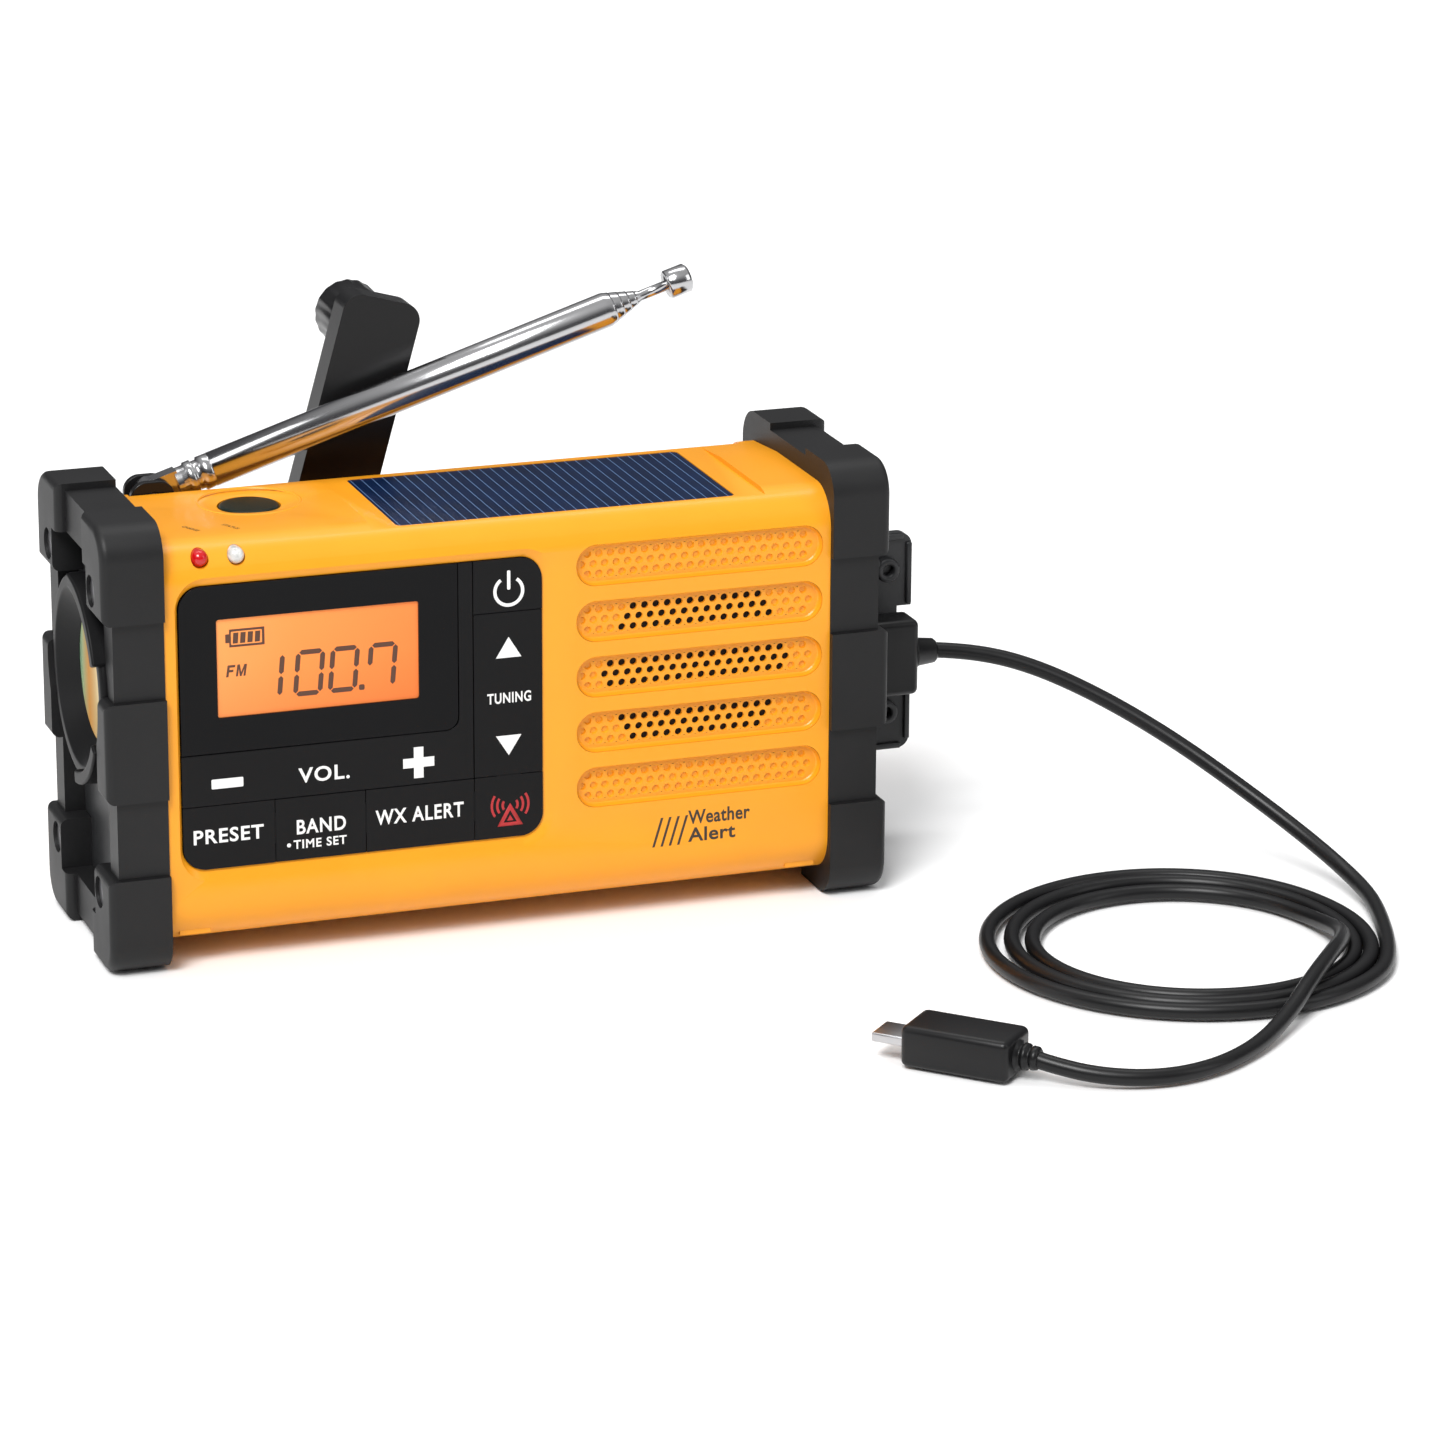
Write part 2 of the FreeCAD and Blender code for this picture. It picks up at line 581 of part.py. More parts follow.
def keys():
    """Seven keys: two rockers, for volume and tuning, and five that push straight in."""
    gap = "key_gap / 2"
    volume = plate("volume_key", "Y", "key_face", "key_back", draw_polygon, [
        ("panel_left + 0.1", f"row_high + {gap}"), (f"leg_right - {gap}", f"row_high + {gap}"),
        (f"leg_right - {gap}", "panel_high - 0.1"), ("window_right + key_gap", "panel_high - 0.1"),
        ("window_right + key_gap", "window_low - key_gap"), ("panel_left + 0.1", "window_low - key_gap")])
    fillet(volume, "window_round", lambda e: runs_along(e, "Y")
           and lies_at(e, x="window_right + key_gap", z="window_low - key_gap"))
    plate("tuning_key", "Y", "key_face", "key_back", draw_rectangle, f"leg_right + {gap}",
          "panel_right - 0.1", f"row_high + {gap}", f"tuning_high - {gap}")
    power = plate("power_key", "Y", "key_face", "key_back", draw_rectangle, f"leg_right + {gap}",
                  "panel_right - 0.1", f"tuning_high + {gap}", "panel_high - 0.1")
    alert = plate("alert_key", "Y", "key_face", "key_back", draw_rectangle, f"leg_right + {gap}",
                  "panel_right - 0.1", "panel_low + 0.1", f"row_high - {gap}")
    preset = plate("preset_key", "Y", "key_face", "key_back", draw_rectangle, "panel_left + 0.1",
                   f"preset_right - {gap}", "panel_low + 0.1", f"row_high - {gap}")
    plate("band_key", "Y", "key_face", "key_back", draw_rectangle, f"preset_right + {gap}",
          f"band_right - {gap}", "panel_low + 0.1", f"row_high - {gap}")
    plate("weather_key", "Y", "key_face", "key_back", draw_rectangle, f"band_right + {gap}",
          f"leg_right - {gap}", "panel_low + 0.1", f"row_high - {gap}")
    for body, x, z in ((power, "panel_right - 0.1", "panel_high - 0.1"),
                       (alert, "panel_right - 0.1", "panel_low + 0.1"),
                       (preset, "panel_left + 0.1", "panel_low + 0.1")):
        fillet(body, "panel_round", lambda e, x=x, z=z: runs_along(e, "Y") and lies_at(e, x=x, z=z))


def lamps():
    """Two round indicator lamps with domed ends, in the top edge of the front."""
    for label, x in (("charge_led", "charge_x"), ("status_led", "status_x")):
        stem = rod(f"{label}_stem", (x, "-22.1", "led_level"), "Y", "led_radius", "5")
        dome = primitive("Part::Sphere", f"{label}_dome", (x, "-22.1", "led_level"),
                         Radius="led_radius")
        node(fuse(label, stem, dome), label)


# ---------------------------------------------------------------- speaker

def grille_holes():
    """Middle points of the grille's open holes: three staggered rows behind each slot."""
    x0, pitch, row = size("slot_left + 1.54"), size("grille_pitch"), size("grille_row")
    spots = []
    for slot in range(-2, 3):
        middle = size(slot_level(slot))
        for line, count in ((-1, 20), (0, 21), (1, 20)):
            for step in range(count):
                x = x0 + pitch * (step + 0.5 * abs(line))
                z = middle + line * row
                if math.hypot(x - size("speaker_x"), z - size("slot_middle")) < size("speaker_hole"):
                    spots.append((x, z))
    return spots


def speaker():
    """Perforated plate, basket, cone and magnet, on one axis."""
    grille = new_body("speaker_grille")
    extrude(grille, "Y", "grille_face", "grille_back", draw_rectangle,
            "slot_left - 1.5", "slot_right + 1.3", "22.7", "77.5")
    sketch = sketch_in(grille, "Y", "grille_face - 1")
    for x, z in grille_holes():
        sketch.addGeometry(Part.Circle(Vector(x, z, 0), Vector(0, 0, 1), size("grille_hole")))
    holes = grille.newObject("PartDesign::Pocket", "open_holes")
    holes.Profile = sketch
    bind(holes, "Length", "4")
    doc.recompute()
    node(grille, "speaker_grille")

    axis = ("speaker_x", "0", "slot_middle")
    rim = rod("basket_rim", (axis[0], "grille_back + 0.1", axis[2]), "Y", "22", "2")
    bowl = cone("basket_bowl", (axis[0], "grille_back + 2.1", axis[2]), "Y", "20.5", "12", "8")
    room = cone("basket_room", (axis[0], "grille_back + 1.4", axis[2]), "Y", "20", "10.6", "9")
    mouth = rod("basket_mouth", (axis[0], "grille_back - 1", axis[2]), "Y", "20", "2.6")
    basket = cut("basket", fuse("basket_blank", rim, bowl), room, mouth)
    magnet = rod("magnet", (axis[0], "grille_back + 10.1", axis[2]), "Y", "13", "5")
    node(group("speaker_frame", basket, magnet), "speaker_frame")
    outside = cone("cone_outside", (axis[0], "grille_back + 1.2", axis[2]), "Y", "19.2", "6", "6.6")
    inside = cone("cone_inside", (axis[0], "grille_back + 0.7", axis[2]), "Y", "19.2", "5.4", "6.6")
    node(cut("speaker_cone", outside, inside), "speaker_cone")


# ---------------------------------------------------------------- top

def solar_panel():
    """The laminated solar cell, flush in its bay."""
    plate("solar_panel", "Z", "cell_floor", "shelf_level - 0.1", draw_rounded_rectangle,
          "cell_left + 0.1", "cell_right - 0.1", "cell_front + 0.1", "cell_rear - 0.1", "1.1")


def light_button():
    """Round push button with a flange that stops it under the top wall."""
    at = ("light_x", "light_y")
    stem = rod("button_stem", (*at, "77.4"), "Z", "light_radius", "5.2")
    flange = rod("button_flange", (*at, "77.4"), "Z", "light_radius + 1.4", "2.3")
    blank = fuse("button_blank", stem, flange)
    node(rounded("light_button", blank, "0.9",
                 lambda e: circular(e) and lies_at(e, z="82.6")), "light_button")


# ---------------------------------------------------------------- flashlight

def flashlight():
    """Bezel with a conical mouth, lens, reflector and lamp, on an axis along X."""
    axis = ("0", "torch_z")
    flange = rod("bezel_flange", ("-panel_face", *axis), "-X", "torch_radius",
                 "-torch_front - panel_face")
    barrel = rod("bezel_barrel", ("barrel_back", *axis), "-X", "barrel_radius",
                 "panel_face + barrel_back")
    mouth = cone("bezel_mouth", ("torch_lens_x", *axis), "-X", "torch_lens", "torch_mouth",
                 "-torch_front + torch_lens_x")
    seat = rod("bezel_seat", ("barrel_back + 1", *axis), "-X", "torch_lens + 0.8",
               "barrel_back + 1 - torch_lens_x")
    blank = fuse("bezel_blank", flange, barrel)
    ring = rounded("bezel_ring", blank, "1.1", lambda e: circular(e)
                   and lies_at(e, x="torch_front"))
    node(cut("flashlight_bezel", ring, mouth, seat), "flashlight_bezel")
    lens = rod("flashlight_lens", ("torch_lens_x + lens_thick", *axis), "-X", "torch_lens + 0.7",
               "lens_thick")
    node(lens, "flashlight_lens")
    outside = cone("reflector_outside", ("reflector_back", *axis), "-X", "4.5", "torch_lens + 0.3",
                   "reflector_long")
    inside = cone("reflector_inside", ("reflector_back + 1", *axis), "-X", "2.9",
                  "torch_lens - 0.4", "reflector_long + 1.01")
    node(cut("flashlight_reflector", outside, inside), "flashlight_reflector")
    base = rod("lamp_base", ("lamp_back", *axis), "-X", "5", "lamp_back - reflector_back")
    bulb = rod("lamp_bulb", ("reflector_back + 0.6", *axis), "-X", "1.6", "3")
    node(fuse("flashlight_led", base, bulb), "flashlight_led")


# ---------------------------------------------------------------- electronics inside

def electronics():
    """Boards, ferrite bar antenna and battery."""
    main = block("main_board", ("-43", "-7", "9"), ("13", "-5.4", "70"))
    sensing = block("key_board", ("panel_left", "base_front + 1.5", "panel_low"),
                    ("panel_right", "base_front + 2.7", "window_low + 1"))
    node(group("circuit_boards", main, sensing), "circuit_boards")
    bar = rod("ferrite_rod", ("-58", "-12", "74.6"), "X", "4", "62")
    winding = rod("ferrite_winding", ("-40", "-12", "74.6"), "X", "4.9", "22")
    node(fuse("ferrite_antenna", bar, winding), "ferrite_antenna")
    pack = block("battery_block", ("22.5", "2", "41"), ("51.5", "21.8", "70"))
    node(rounded("battery_pack", pack, "1.5", lambda e: runs_along(e, "Z")), "battery_pack")


def sockets():
    """Charging outlet, charging inlet and earphone socket behind the right end."""
    can = block("outlet_can", ("57", "-3.5", "usb_z - 7.4"), ("panel_face", "3.5", "usb_z + 7.4"))
    room = block("outlet_room", ("58.6", "-2.45", "usb_z - 6.15"),
                 ("panel_face + 1", "2.45", "usb_z + 6.15"))
    tongue = block("outlet_tongue", ("58", "0.25", "usb_z - 5.5"), ("71.4", "1.75", "usb_z + 5.5"))
    node(fuse("usb_socket", cut("outlet_shell", can, room), tongue), "usb_socket")
    can = block("inlet_can", ("62", "-2.2", "21.3"), ("panel_face", "2.2", "29.2"))
    room = block("inlet_room", ("66.5", "-1.5", "22"), ("panel_face + 1", "1.5", "28.5"))
    tongue = block("inlet_tongue", ("66", "-0.35", "23.2"), ("71.4", "0.35", "27.3"))
    node(fuse("charge_inlet", cut("inlet_shell", can, room), tongue), "charge_inlet")
    barrel = rod("earphone_barrel", ("58", "0", "56.5"), "X", "3.1", "panel_face - 58")
    bore = rod("earphone_bore", ("58.5", "0", "56.5"), "X", "1.8", "panel_face - 57.5")
    node(cut("headphone_jack", barrel, bore), "headphone_jack")


# ---------------------------------------------------------------- antenna

def along_mast(item):
    """Lays a piece that was built along +X from the pivot onto the leaning antenna."""
    item.Placement = Placement(Vector(size("mast_x"), size("mast_y"), size("mast_z")),
                               Rotation(Vector(0, -1, 0), size("mast_lean")))
    return item


def antenna():
    """Pivot block, knuckle and five telescoping sections."""
    frame = block("mount_frame", ("mast_x - 4.6", "mast_y - 3.6", "groove_floor"),
                  ("mast_x + 4.2", "mast_y + 3.4", "mast_z + 3.4"))
    slot = block("mount_slot", ("mast_x - 6", "mast_y - 1.9", "groove_floor + 0.5"),
                 ("mast_x + 6", "mast_y + 1.9", "mast_z + 5"))
    bore = rod("mount_bore", ("mast_x", "mast_y - 5", "mast_z"), "Y", "1.25", "10")
    arched = rounded("mount_arched", frame, "3.2", lambda e: runs_along(e, "Y")
                     and lies_at(e, z="mast_z + 3.4"))
    node(cut("antenna_mount", arched, slot, bore), "antenna_mount")
    pin = rod("antenna_pin", ("mast_x", "mast_y - 3.6", "mast_z"), "Y", "1.2", "7")
    node(pin, "antenna_pin")

    eye = rod("knuckle_eye", ("0", "-1.7", "0"), "Y", "3.3", "3.4")
    blade = block("knuckle_blade", ("0", "-1.7", "-3"), ("6.2", "1.7", "3"))
    collar = rod("knuckle_collar", ("5.6", "0", "0"), "X", "3", "mast_foot - 5.6")
    first = rod("knuckle_ring", ("8", "0", "0"), "X", "3.4", "1.4")
    second = rod("knuckle_ring_two", ("11", "0", "0"), "X", "3.4", "mast_foot - 11")
    spigot = rod("knuckle_spigot", ("mast_foot", "0", "0"), "X", "2.9", "3")
    hole = rod("knuckle_hole", ("0", "-3", "0"), "Y", "1.25", "6")
    solid = fuse("knuckle_solid", eye, blade, collar, first, second, spigot)
    node(along_mast(cut("antenna_knuckle", solid, hole)), "antenna_knuckle")

    labels = ("antenna_tube", "antenna_section_two", "antenna_section_three", "antenna_section_four")
    for step, label in enumerate(labels):
        radius = f"mast_radius - {step} * (mast_wall + mast_gap)"
        start = "mast_foot" if step == 0 else f"mast_foot + 4 + {step}"
        end = f"mast_end + {step} * mast_step"
        outside = rod(f"{label}_outside", (start, "0", "0"), "X", radius, f"{end} - ({start})")
        inside = rod(f"{label}_inside", (f"{start} - 1", "0", "0"), "X", f"{radius} - mast_wall",
                     f"{end} - ({start}) + 2")
        node(along_mast(cut(label, outside, inside)), label)
    thin = rod("tip_rod", ("mast_foot + 8", "0", "0"), "X", "mast_radius - 4 * (mast_wall + mast_gap)",
               "98.4")
    cap = rod("tip_cap", ("110.9", "0", "0"), "X", "2.9", "4.9")
    button = rounded("tip_cap_round", cap, "0.5", circular)
    node(along_mast(fuse("antenna_tip", thin, button)), "antenna_tip")


# ---------------------------------------------------------------- crank

def on_crank(item, y="0"):
    """Puts a piece that was built upright at the hub onto the leaning crank."""
    item.Placement = Placement(Vector(size("crank_x"), size(y), size("crank_z")),
                               Rotation(Vector(0, 1, 0), size("crank_lean")))
    return item


def crank():
    """Hub with its shaft and lugs, folding arm, hinge pin, knob and the knob's screw."""
    shaft = rod("hub_shaft", ("0", "gear_front - 1", "0"), "Y", "shaft_radius",
                "case_rear + 0.3 - gear_front + 1")
    disc = rod("hub_disc", ("0", "case_rear + 0.3", "0"), "Y", "12", "2.9")
    lugs = []
    for side in (-1, 1):
        low = "crank_half + 0.3" if side > 0 else "-crank_half - 2.8"
        high = "crank_half + 2.8" if side > 0 else "-crank_half - 0.3"
        foot = block(f"hub_lug_{side + 1}", (low, "case_rear + 2", "-3.1"),
                     (high, "crank_y", "3.1"))
        eye = rod(f"hub_eye_{side + 1}", (low, "crank_y", "0"), "X", "3.1", f"{high} - ({low})")
        lugs += [foot, eye]
    pin_hole = rod("hub_pin_hole", ("-12", "crank_y", "0"), "X", "1.25", "24")
    solid = fuse("hub_solid", shaft, disc, *lugs)
    node(on_crank(cut("crank_hub", solid, pin_hole)), "crank_hub")
    pin = rod("hinge_pin_rod", ("-10.6", "crank_y", "0"), "X", "1.2", "21.2")
    node(on_crank(group("crank_hinge_pin", pin)), "crank_hinge_pin")

    arm = new_body("crank_arm")
    extrude(arm, "Y", "-crank_thick / 2", "crank_thick / 2", draw_rectangle,
            "-crank_half", "crank_half", "0", "crank_end")
    fillet(arm, "3.6", lambda e: runs_along(e, "Y") and e.BoundBox.ZMin > size("crank_reach"))
    extrude(arm, "X", "-crank_half", "crank_half", draw_circle, "0", "0", "crank_thick / 2")
    pocket(arm, "X", "-crank_half - 1", "crank_half + 1", draw_circle, "0", "0", "1.25")
    pocket(arm, "Y", "-stem_sunk", "crank_thick", draw_circle, "0", "crank_reach",
           "stem_radius + 0.05")
    node(on_crank(arm, "crank_y"), "crank_arm")

    at = ("0", "crank_y + crank_thick / 2 + 0.15", "crank_reach")
    blank = rod("knob_blank", at, "Y", "knob_radius", "knob_length")
    smooth = rounded("knob_smooth", blank, "1.6", circular)
    knob_rear = f"{at[1]} + knob_length"
    bore = rod("knob_bore", (at[0], "crank_y", at[2]), "Y", "stem_radius + 0.05", "knob_length + 5")
    recess = rod("knob_recess", (at[0], f"{knob_rear} - 1.7", at[2]), "Y", "3.6", "2")
    node(on_crank(cut("crank_knob", smooth, bore, recess)), "crank_knob")
    stem = rod("knob_stem", ("0", "crank_y - stem_sunk + 0.05", "crank_reach"), "Y", "stem_radius",
               "stem_sunk + crank_thick / 2 + knob_length - 1")
    head = rod("knob_screw_head", ("0", f"{knob_rear} - 1.6", "crank_reach"), "Y", "3.5", "1.3")
    node(on_crank(fuse("knob_screw", stem, head)), "knob_screw")


def gear_face(teeth, phase):
    """Involute gear outline as a face across Y, with its first tooth at the phase angle."""
    module, pressure, slack = size("gear_module"), math.radians(20), 0.10
    pitch = module * teeth / 2
    base, tip, root = pitch * math.cos(pressure), pitch + 0.85 * module, pitch - 1.2 * module

    def involute(radius):
        angle = math.acos(min(1.0, base / radius))
        return math.tan(angle) - angle

    half_tooth = math.pi / (2 * teeth) * (1 - slack)
    points = []
    for tooth in range(teeth):
        middle = phase + 2 * math.pi * tooth / teeth
        start = max(base, root)
        radii = [start + (tip - start) * share for share in (0, 0.33, 0.67, 1)]
        flank = [(radius, half_tooth + involute(pitch) - involute(radius)) for radius in radii]
        flank.insert(0, (root, flank[0][1]))
        for radius, half in flank:
            points.append((radius, middle - half))
        for radius, half in reversed(flank):
            points.append((radius, middle + half))
    corners = [Vector(r * math.cos(a), 0, r * math.sin(a)) for r, a in points]
    return Part.Face(Part.makePolygon(corners + corners[:1]))


def gear(label, teeth, phase, x, z, bore, spindle=False):
    """A spur gear on a bore, or on a spindle of its own that reaches forward to the dynamo."""
    width = size("gear_width")
    solid = gear_face(teeth, phase).extrude(Vector(0, width, 0))
    core = Part.makeCylinder(bore, width + 3.8, Vector(0, -3.1, 0), Vector(0, 1, 0))
    item = doc.addObject("Part::Feature", label)
    item.Shape = solid.fuse(core).removeSplitter() if spindle else solid.cut(core)
    item.Placement = Placement(Vector(x, size("gear_front"), z), Rotation())
    return node(item, label)


def mesh_phase(angle, driver_teeth, driver_phase, teeth):
    """Phase of a follower's first tooth, so that one of its gaps faces the driver's tooth."""
    step = 2 * math.pi / driver_teeth
    offset = (angle - driver_phase) % step
    return angle + math.pi + offset * driver_teeth / teeth + math.pi / teeth


def gear_train():
    """Crank gear, idler and dynamo pinion in mesh, their plate, and the dynamo."""
    module = size("gear_module")
    big, idle, small = (int(size(name)) for name in ("crank_teeth", "idler_teeth", "pinion_teeth"))
    crank_at = (size("crank_x"), size("crank_z"))
    to_idler, to_pinion = math.radians(-20), math.radians(-42)
    reach = module * (big + idle) / 2
    idler_at = (crank_at[0] + reach * math.cos(to_idler), crank_at[1] + reach * math.sin(to_idler))
    reach = module * (idle + small) / 2
    pinion_at = (idler_at[0] + reach * math.cos(to_pinion), idler_at[1] + reach * math.sin(to_pinion))
    idler_phase = mesh_phase(to_idler, big, 0, idle)
    pinion_phase = mesh_phase(to_pinion, idle, idler_phase, small)
    gear("crank_gear", big, 0, *crank_at, size("shaft_radius"))
    gear("idler_gear", idle, idler_phase, *idler_at, 1.55)
    gear("dynamo_pinion", small, pinion_phase, *pinion_at, 1.0, spindle=True)
    print("idler at", [round(v, 3) for v in idler_at], "pinion at", [round(v, 3) for v in pinion_at])

    sheet_low = (size("crank_x") - 10, 8.0, 14.0)
    deck = Part.makeBox(pinion_at[0] + 13 - sheet_low[0], 2, 44, Vector(*sheet_low))
    post = Part.makeCylinder(1.5, 5.6, Vector(idler_at[0], 9.8, idler_at[1]), Vector(0, 1, 0))
    window = Part.makeCylinder(2.5, 4, Vector(pinion_at[0], 7, pinion_at[1]), Vector(0, 1, 0))
    base = doc.addObject("Part::Feature", "gearbox_plate")
    base.Shape = deck.cut(window).fuse(post).removeSplitter()
    node(base, "gearbox_plate")
    can = Part.makeCylinder(10.5, 11, Vector(pinion_at[0], -3.1, pinion_at[1]), Vector(0, 1, 0))
    neck = Part.makeCylinder(2.4, 1, Vector(pinion_at[0], 7.8, pinion_at[1]), Vector(0, 1, 0))
    motor = doc.addObject("Part::Feature", "dynamo")
    motor.Shape = can.fuse(neck).removeSplitter()
    node(motor, "dynamo")


# ---------------------------------------------------------------- flap, plugs and cable

def port_flap():
    """Soft flap, open: a narrow strap, a notched leaf and the stoppers on its inner face."""
    body = new_body("port_flap")
    front, rear = "flap_y - flap_thick / 2", "flap_y + flap_thick / 2"
    extrude(body, "Y", front, rear, draw_polygon, [
        ("flap_left", "flap_low"), ("flap_right", "flap_low"), ("flap_right", "43.4"),
        ("flap_right - 3", "43.4"), ("flap_right - 3", "47.2"), ("flap_right", "47.2"),
        ("flap_right", "flap_high"), ("flap_left", "flap_high")])
    fillet(body, "2.6", lambda e: runs_along(e, "Y")
           and any(lies_at(e, x="flap_right", z=z) for z in ("flap_low", "flap_high")))
    extrude(body, "Y", "flap_y - 0.6", "flap_y + 0.6", draw_rectangle,
            "panel_face + 0.4", "flap_left + 0.1", "30", "50")
    for z in ("25.2", "56.5"):
        extrude(body, "Y", f"{front} - 1.6", f"{front} + 0.1", draw_circle, "flap_left + 8.6", z, "2.5")
        pocket(body, "Y", f"{front} - 2", f"{front} + 0.6", draw_circle, "flap_left + 8.6", z, "1.1")
    return node(body, "port_flap")


def outlet_plug():
    """Plug that sits in the charging outlet, its metal shell and its strain relief."""
    grip = block("plug_grip", ("plug_left", "-4", "usb_z - 7.8"), ("plug_right", "4", "usb_z + 7.8"))
    soft = rounded("plug_soft", grip, "1.5", lambda e: runs_along(e, "X"))
    sleeve = cone("plug_sleeve", ("plug_right - 0.5", "0", "usb_z"), "X", "2.9", "2.3",
                  "relief_end - plug_right + 0.5")
    grip = fuse("plug_grip_whole", soft, sleeve)
    shell = block("shell_outside", ("60", "-2.25", "usb_z - 6"), ("plug_left", "2.25", "usb_z + 6"))
    room = block("shell_room", ("59", "-0.15", "usb_z - 5.7"), ("plug_left + 1", "1.95", "usb_z + 5.7"))
    node(group("usb_plug", grip, cut("plug_shell", shell, room)), "usb_plug")


# Route of the lead from the plug's strain relief to the coil, and from the coil to the far plug.
LEAD_DROP = [(98.4, 0, 40.8), (106, -1.6, 40.3), (117, -6, 37.6), (129, -13, 32), (141, -21.8, 24.6),
             (152, -32.4, 16.2), (161, -44.5, 8.6), (165.6, -57, 3.6), (164.6, -70, 2.2),
             (160.6, -83, 2.0)]
LEAD_TAIL = [(150, -84, 3.6), (145.8, -93.5, 5.6), (138.5, -103.5, 7), (130, -113, 6.2),
             (121, -122, 3), (110.6, -131.6, 1.7), (99, -138.8, 1.7), (87.4, -140.9, 1.7),
             (76.4, -137.4, 2.2), (68.4, -131.4, 3.6)]


def lead(label, route):
    """A round tube along straight runs joined by tangent arcs, as large as the runs allow."""
    points = [Vector(*spot) for spot in route]
    edges, start, radii = [], points[0], []
    for before, corner, after in zip(points, points[1:], points[2:]):
        inward, outward = (corner - before).normalize(), (after - corner).normalize()
        turn = inward.getAngle(outward)
        trim = 0.45 * min(corner.distanceToPoint(before), corner.distanceToPoint(after))
        radius = trim / math.tan(turn / 2)
        radii.append(radius)
        first, last = corner - inward * trim, corner + outward * trim
        centre = first + (outward - inward * inward.dot(outward)).normalize() * radius
        middle = centre + (corner - centre).normalize() * radius
        edges.append(Part.LineSegment(start, first).toShape())
        edges.append(Part.Arc(first, middle, last).toShape())
        start = last
    edges.append(Part.LineSegment(start, points[-1]).toShape())
    path = Part.Wire(edges)
    radius = size("cable_radius")
    ring = Part.Wire([Part.makeCircle(radius, points[0], points[1] - points[0])])
    tube = path.makePipeShell([ring], True, False)
    item = doc.addObject("Part::Feature", label)
    item.Shape = tube
    ideal = math.pi * radius ** 2 * path.Length
    print(label, "length", round(path.Length, 1), "smallest radius", round(min(radii), 1),
          "volume ratio", round(tube.Volume / ideal, 4), "lowest", round(tube.BoundBox.ZMin, 2))
    return node(item, label)


def cable_coil():
    """Outer shape of the three loose turns that lie beside each other."""
    at = ("coil_x", "coil_y", "0")
    ring = cut("coil_ring", rod("coil_outside", at, "Z", "coil_outer", "coil_high"),
               rod("coil_inside", at, "Z", "coil_inner", "coil_high"))
    node(rounded("cable_coil", ring, "1.5", lambda e: circular(e) and lies_at(e, z="coil_high")),
         "cable_coil")


def far_plug():
    """Small plug that lies on the floor: a grip, a relief and a metal tip."""
    grip = block("far_grip", ("3.8", "-5.6", "0.2"), ("25", "5.6", "8.2"))
    soft = rounded("far_soft", grip, "1.4", lambda e: runs_along(e, "X"))
    neck = rod("far_neck", ("0", "0", "4.2"), "X", "2.4", "4.5")
    tip = block("far_tip", ("25", "-3.45", "3.3"), ("31.6", "3.45", "5.1"))
    plug = group("charge_plug", fuse("far_body", soft, neck), tip)
    plug.Placement = Placement(Vector(67.4, -130.4, 0), Rotation(Vector(0, 0, 1), 134.6))
    node(plug, "charge_plug")


# ---------------------------------------------------------------- assembly

front_shell()
rear_shell()
battery_cover()
case_screws()
left_end_panel()
right_end_panel()
bumper(-1, "left_bumper")
bumper(1, "right_bumper")
bumper_screws()
display()
keys()
lamps()
speaker()
solar_panel()
light_button()
flashlight()
electronics()
sockets()
antenna()
crank()
gear_train()
port_flap()
outlet_plug()
lead("charging_cable", LEAD_DROP)
lead("cable_tail", LEAD_TAIL)
cable_coil()
far_plug()
doc.recompute()

for item in doc.Objects:
    if "Invalid" in item.State or "Error" in item.State:
        raise RuntimeError(f"{item.Name} failed: {item.State}")
for label, item in nodes.items():
    if item.Shape.isNull() or not item.Shape.isValid() or item.Shape.Volume <= 0:
        raise RuntimeError(f"{label} has no valid solid")
for label, item in nodes.items():
    item.Shape.exportStep(f"parts/{label}.step")
print(len(nodes), "sub-parts written")
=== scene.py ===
import json
import math

import bmesh
import bpy
from mathutils import Matrix, Vector


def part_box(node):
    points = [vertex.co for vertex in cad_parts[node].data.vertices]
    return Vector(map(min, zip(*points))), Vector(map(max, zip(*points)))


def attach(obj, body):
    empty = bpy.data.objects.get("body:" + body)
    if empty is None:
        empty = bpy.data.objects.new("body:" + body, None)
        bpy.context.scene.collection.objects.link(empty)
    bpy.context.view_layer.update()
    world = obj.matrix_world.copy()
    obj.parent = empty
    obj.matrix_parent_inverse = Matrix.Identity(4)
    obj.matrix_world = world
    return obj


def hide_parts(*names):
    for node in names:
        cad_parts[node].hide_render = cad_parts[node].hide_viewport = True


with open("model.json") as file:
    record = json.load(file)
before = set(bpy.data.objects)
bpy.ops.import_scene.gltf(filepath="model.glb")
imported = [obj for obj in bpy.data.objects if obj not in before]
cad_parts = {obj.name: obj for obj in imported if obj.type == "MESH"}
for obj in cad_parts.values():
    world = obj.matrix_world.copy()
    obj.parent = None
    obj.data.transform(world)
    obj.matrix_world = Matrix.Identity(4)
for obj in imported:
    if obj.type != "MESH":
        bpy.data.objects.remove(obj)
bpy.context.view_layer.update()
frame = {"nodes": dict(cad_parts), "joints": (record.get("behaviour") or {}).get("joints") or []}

# Looks of the portable emergency radio.

MM = 0.001
NODES = frame["nodes"]


def mm(*values):
    """A point given in millimetres."""
    return Vector(values) * MM


# ---------------------------------------------------------------- camera, light and floor

AZIMUTH, ELEVATION, ROLL = (math.radians(angle) for angle in (-19.735, 17.683, 0.308))
TARGET = mm(53.2, 0, 30.1)
DISTANCE = 1.148
FOCAL_LENGTH, SENSOR_WIDTH = 143.7, 36  # both in millimetres

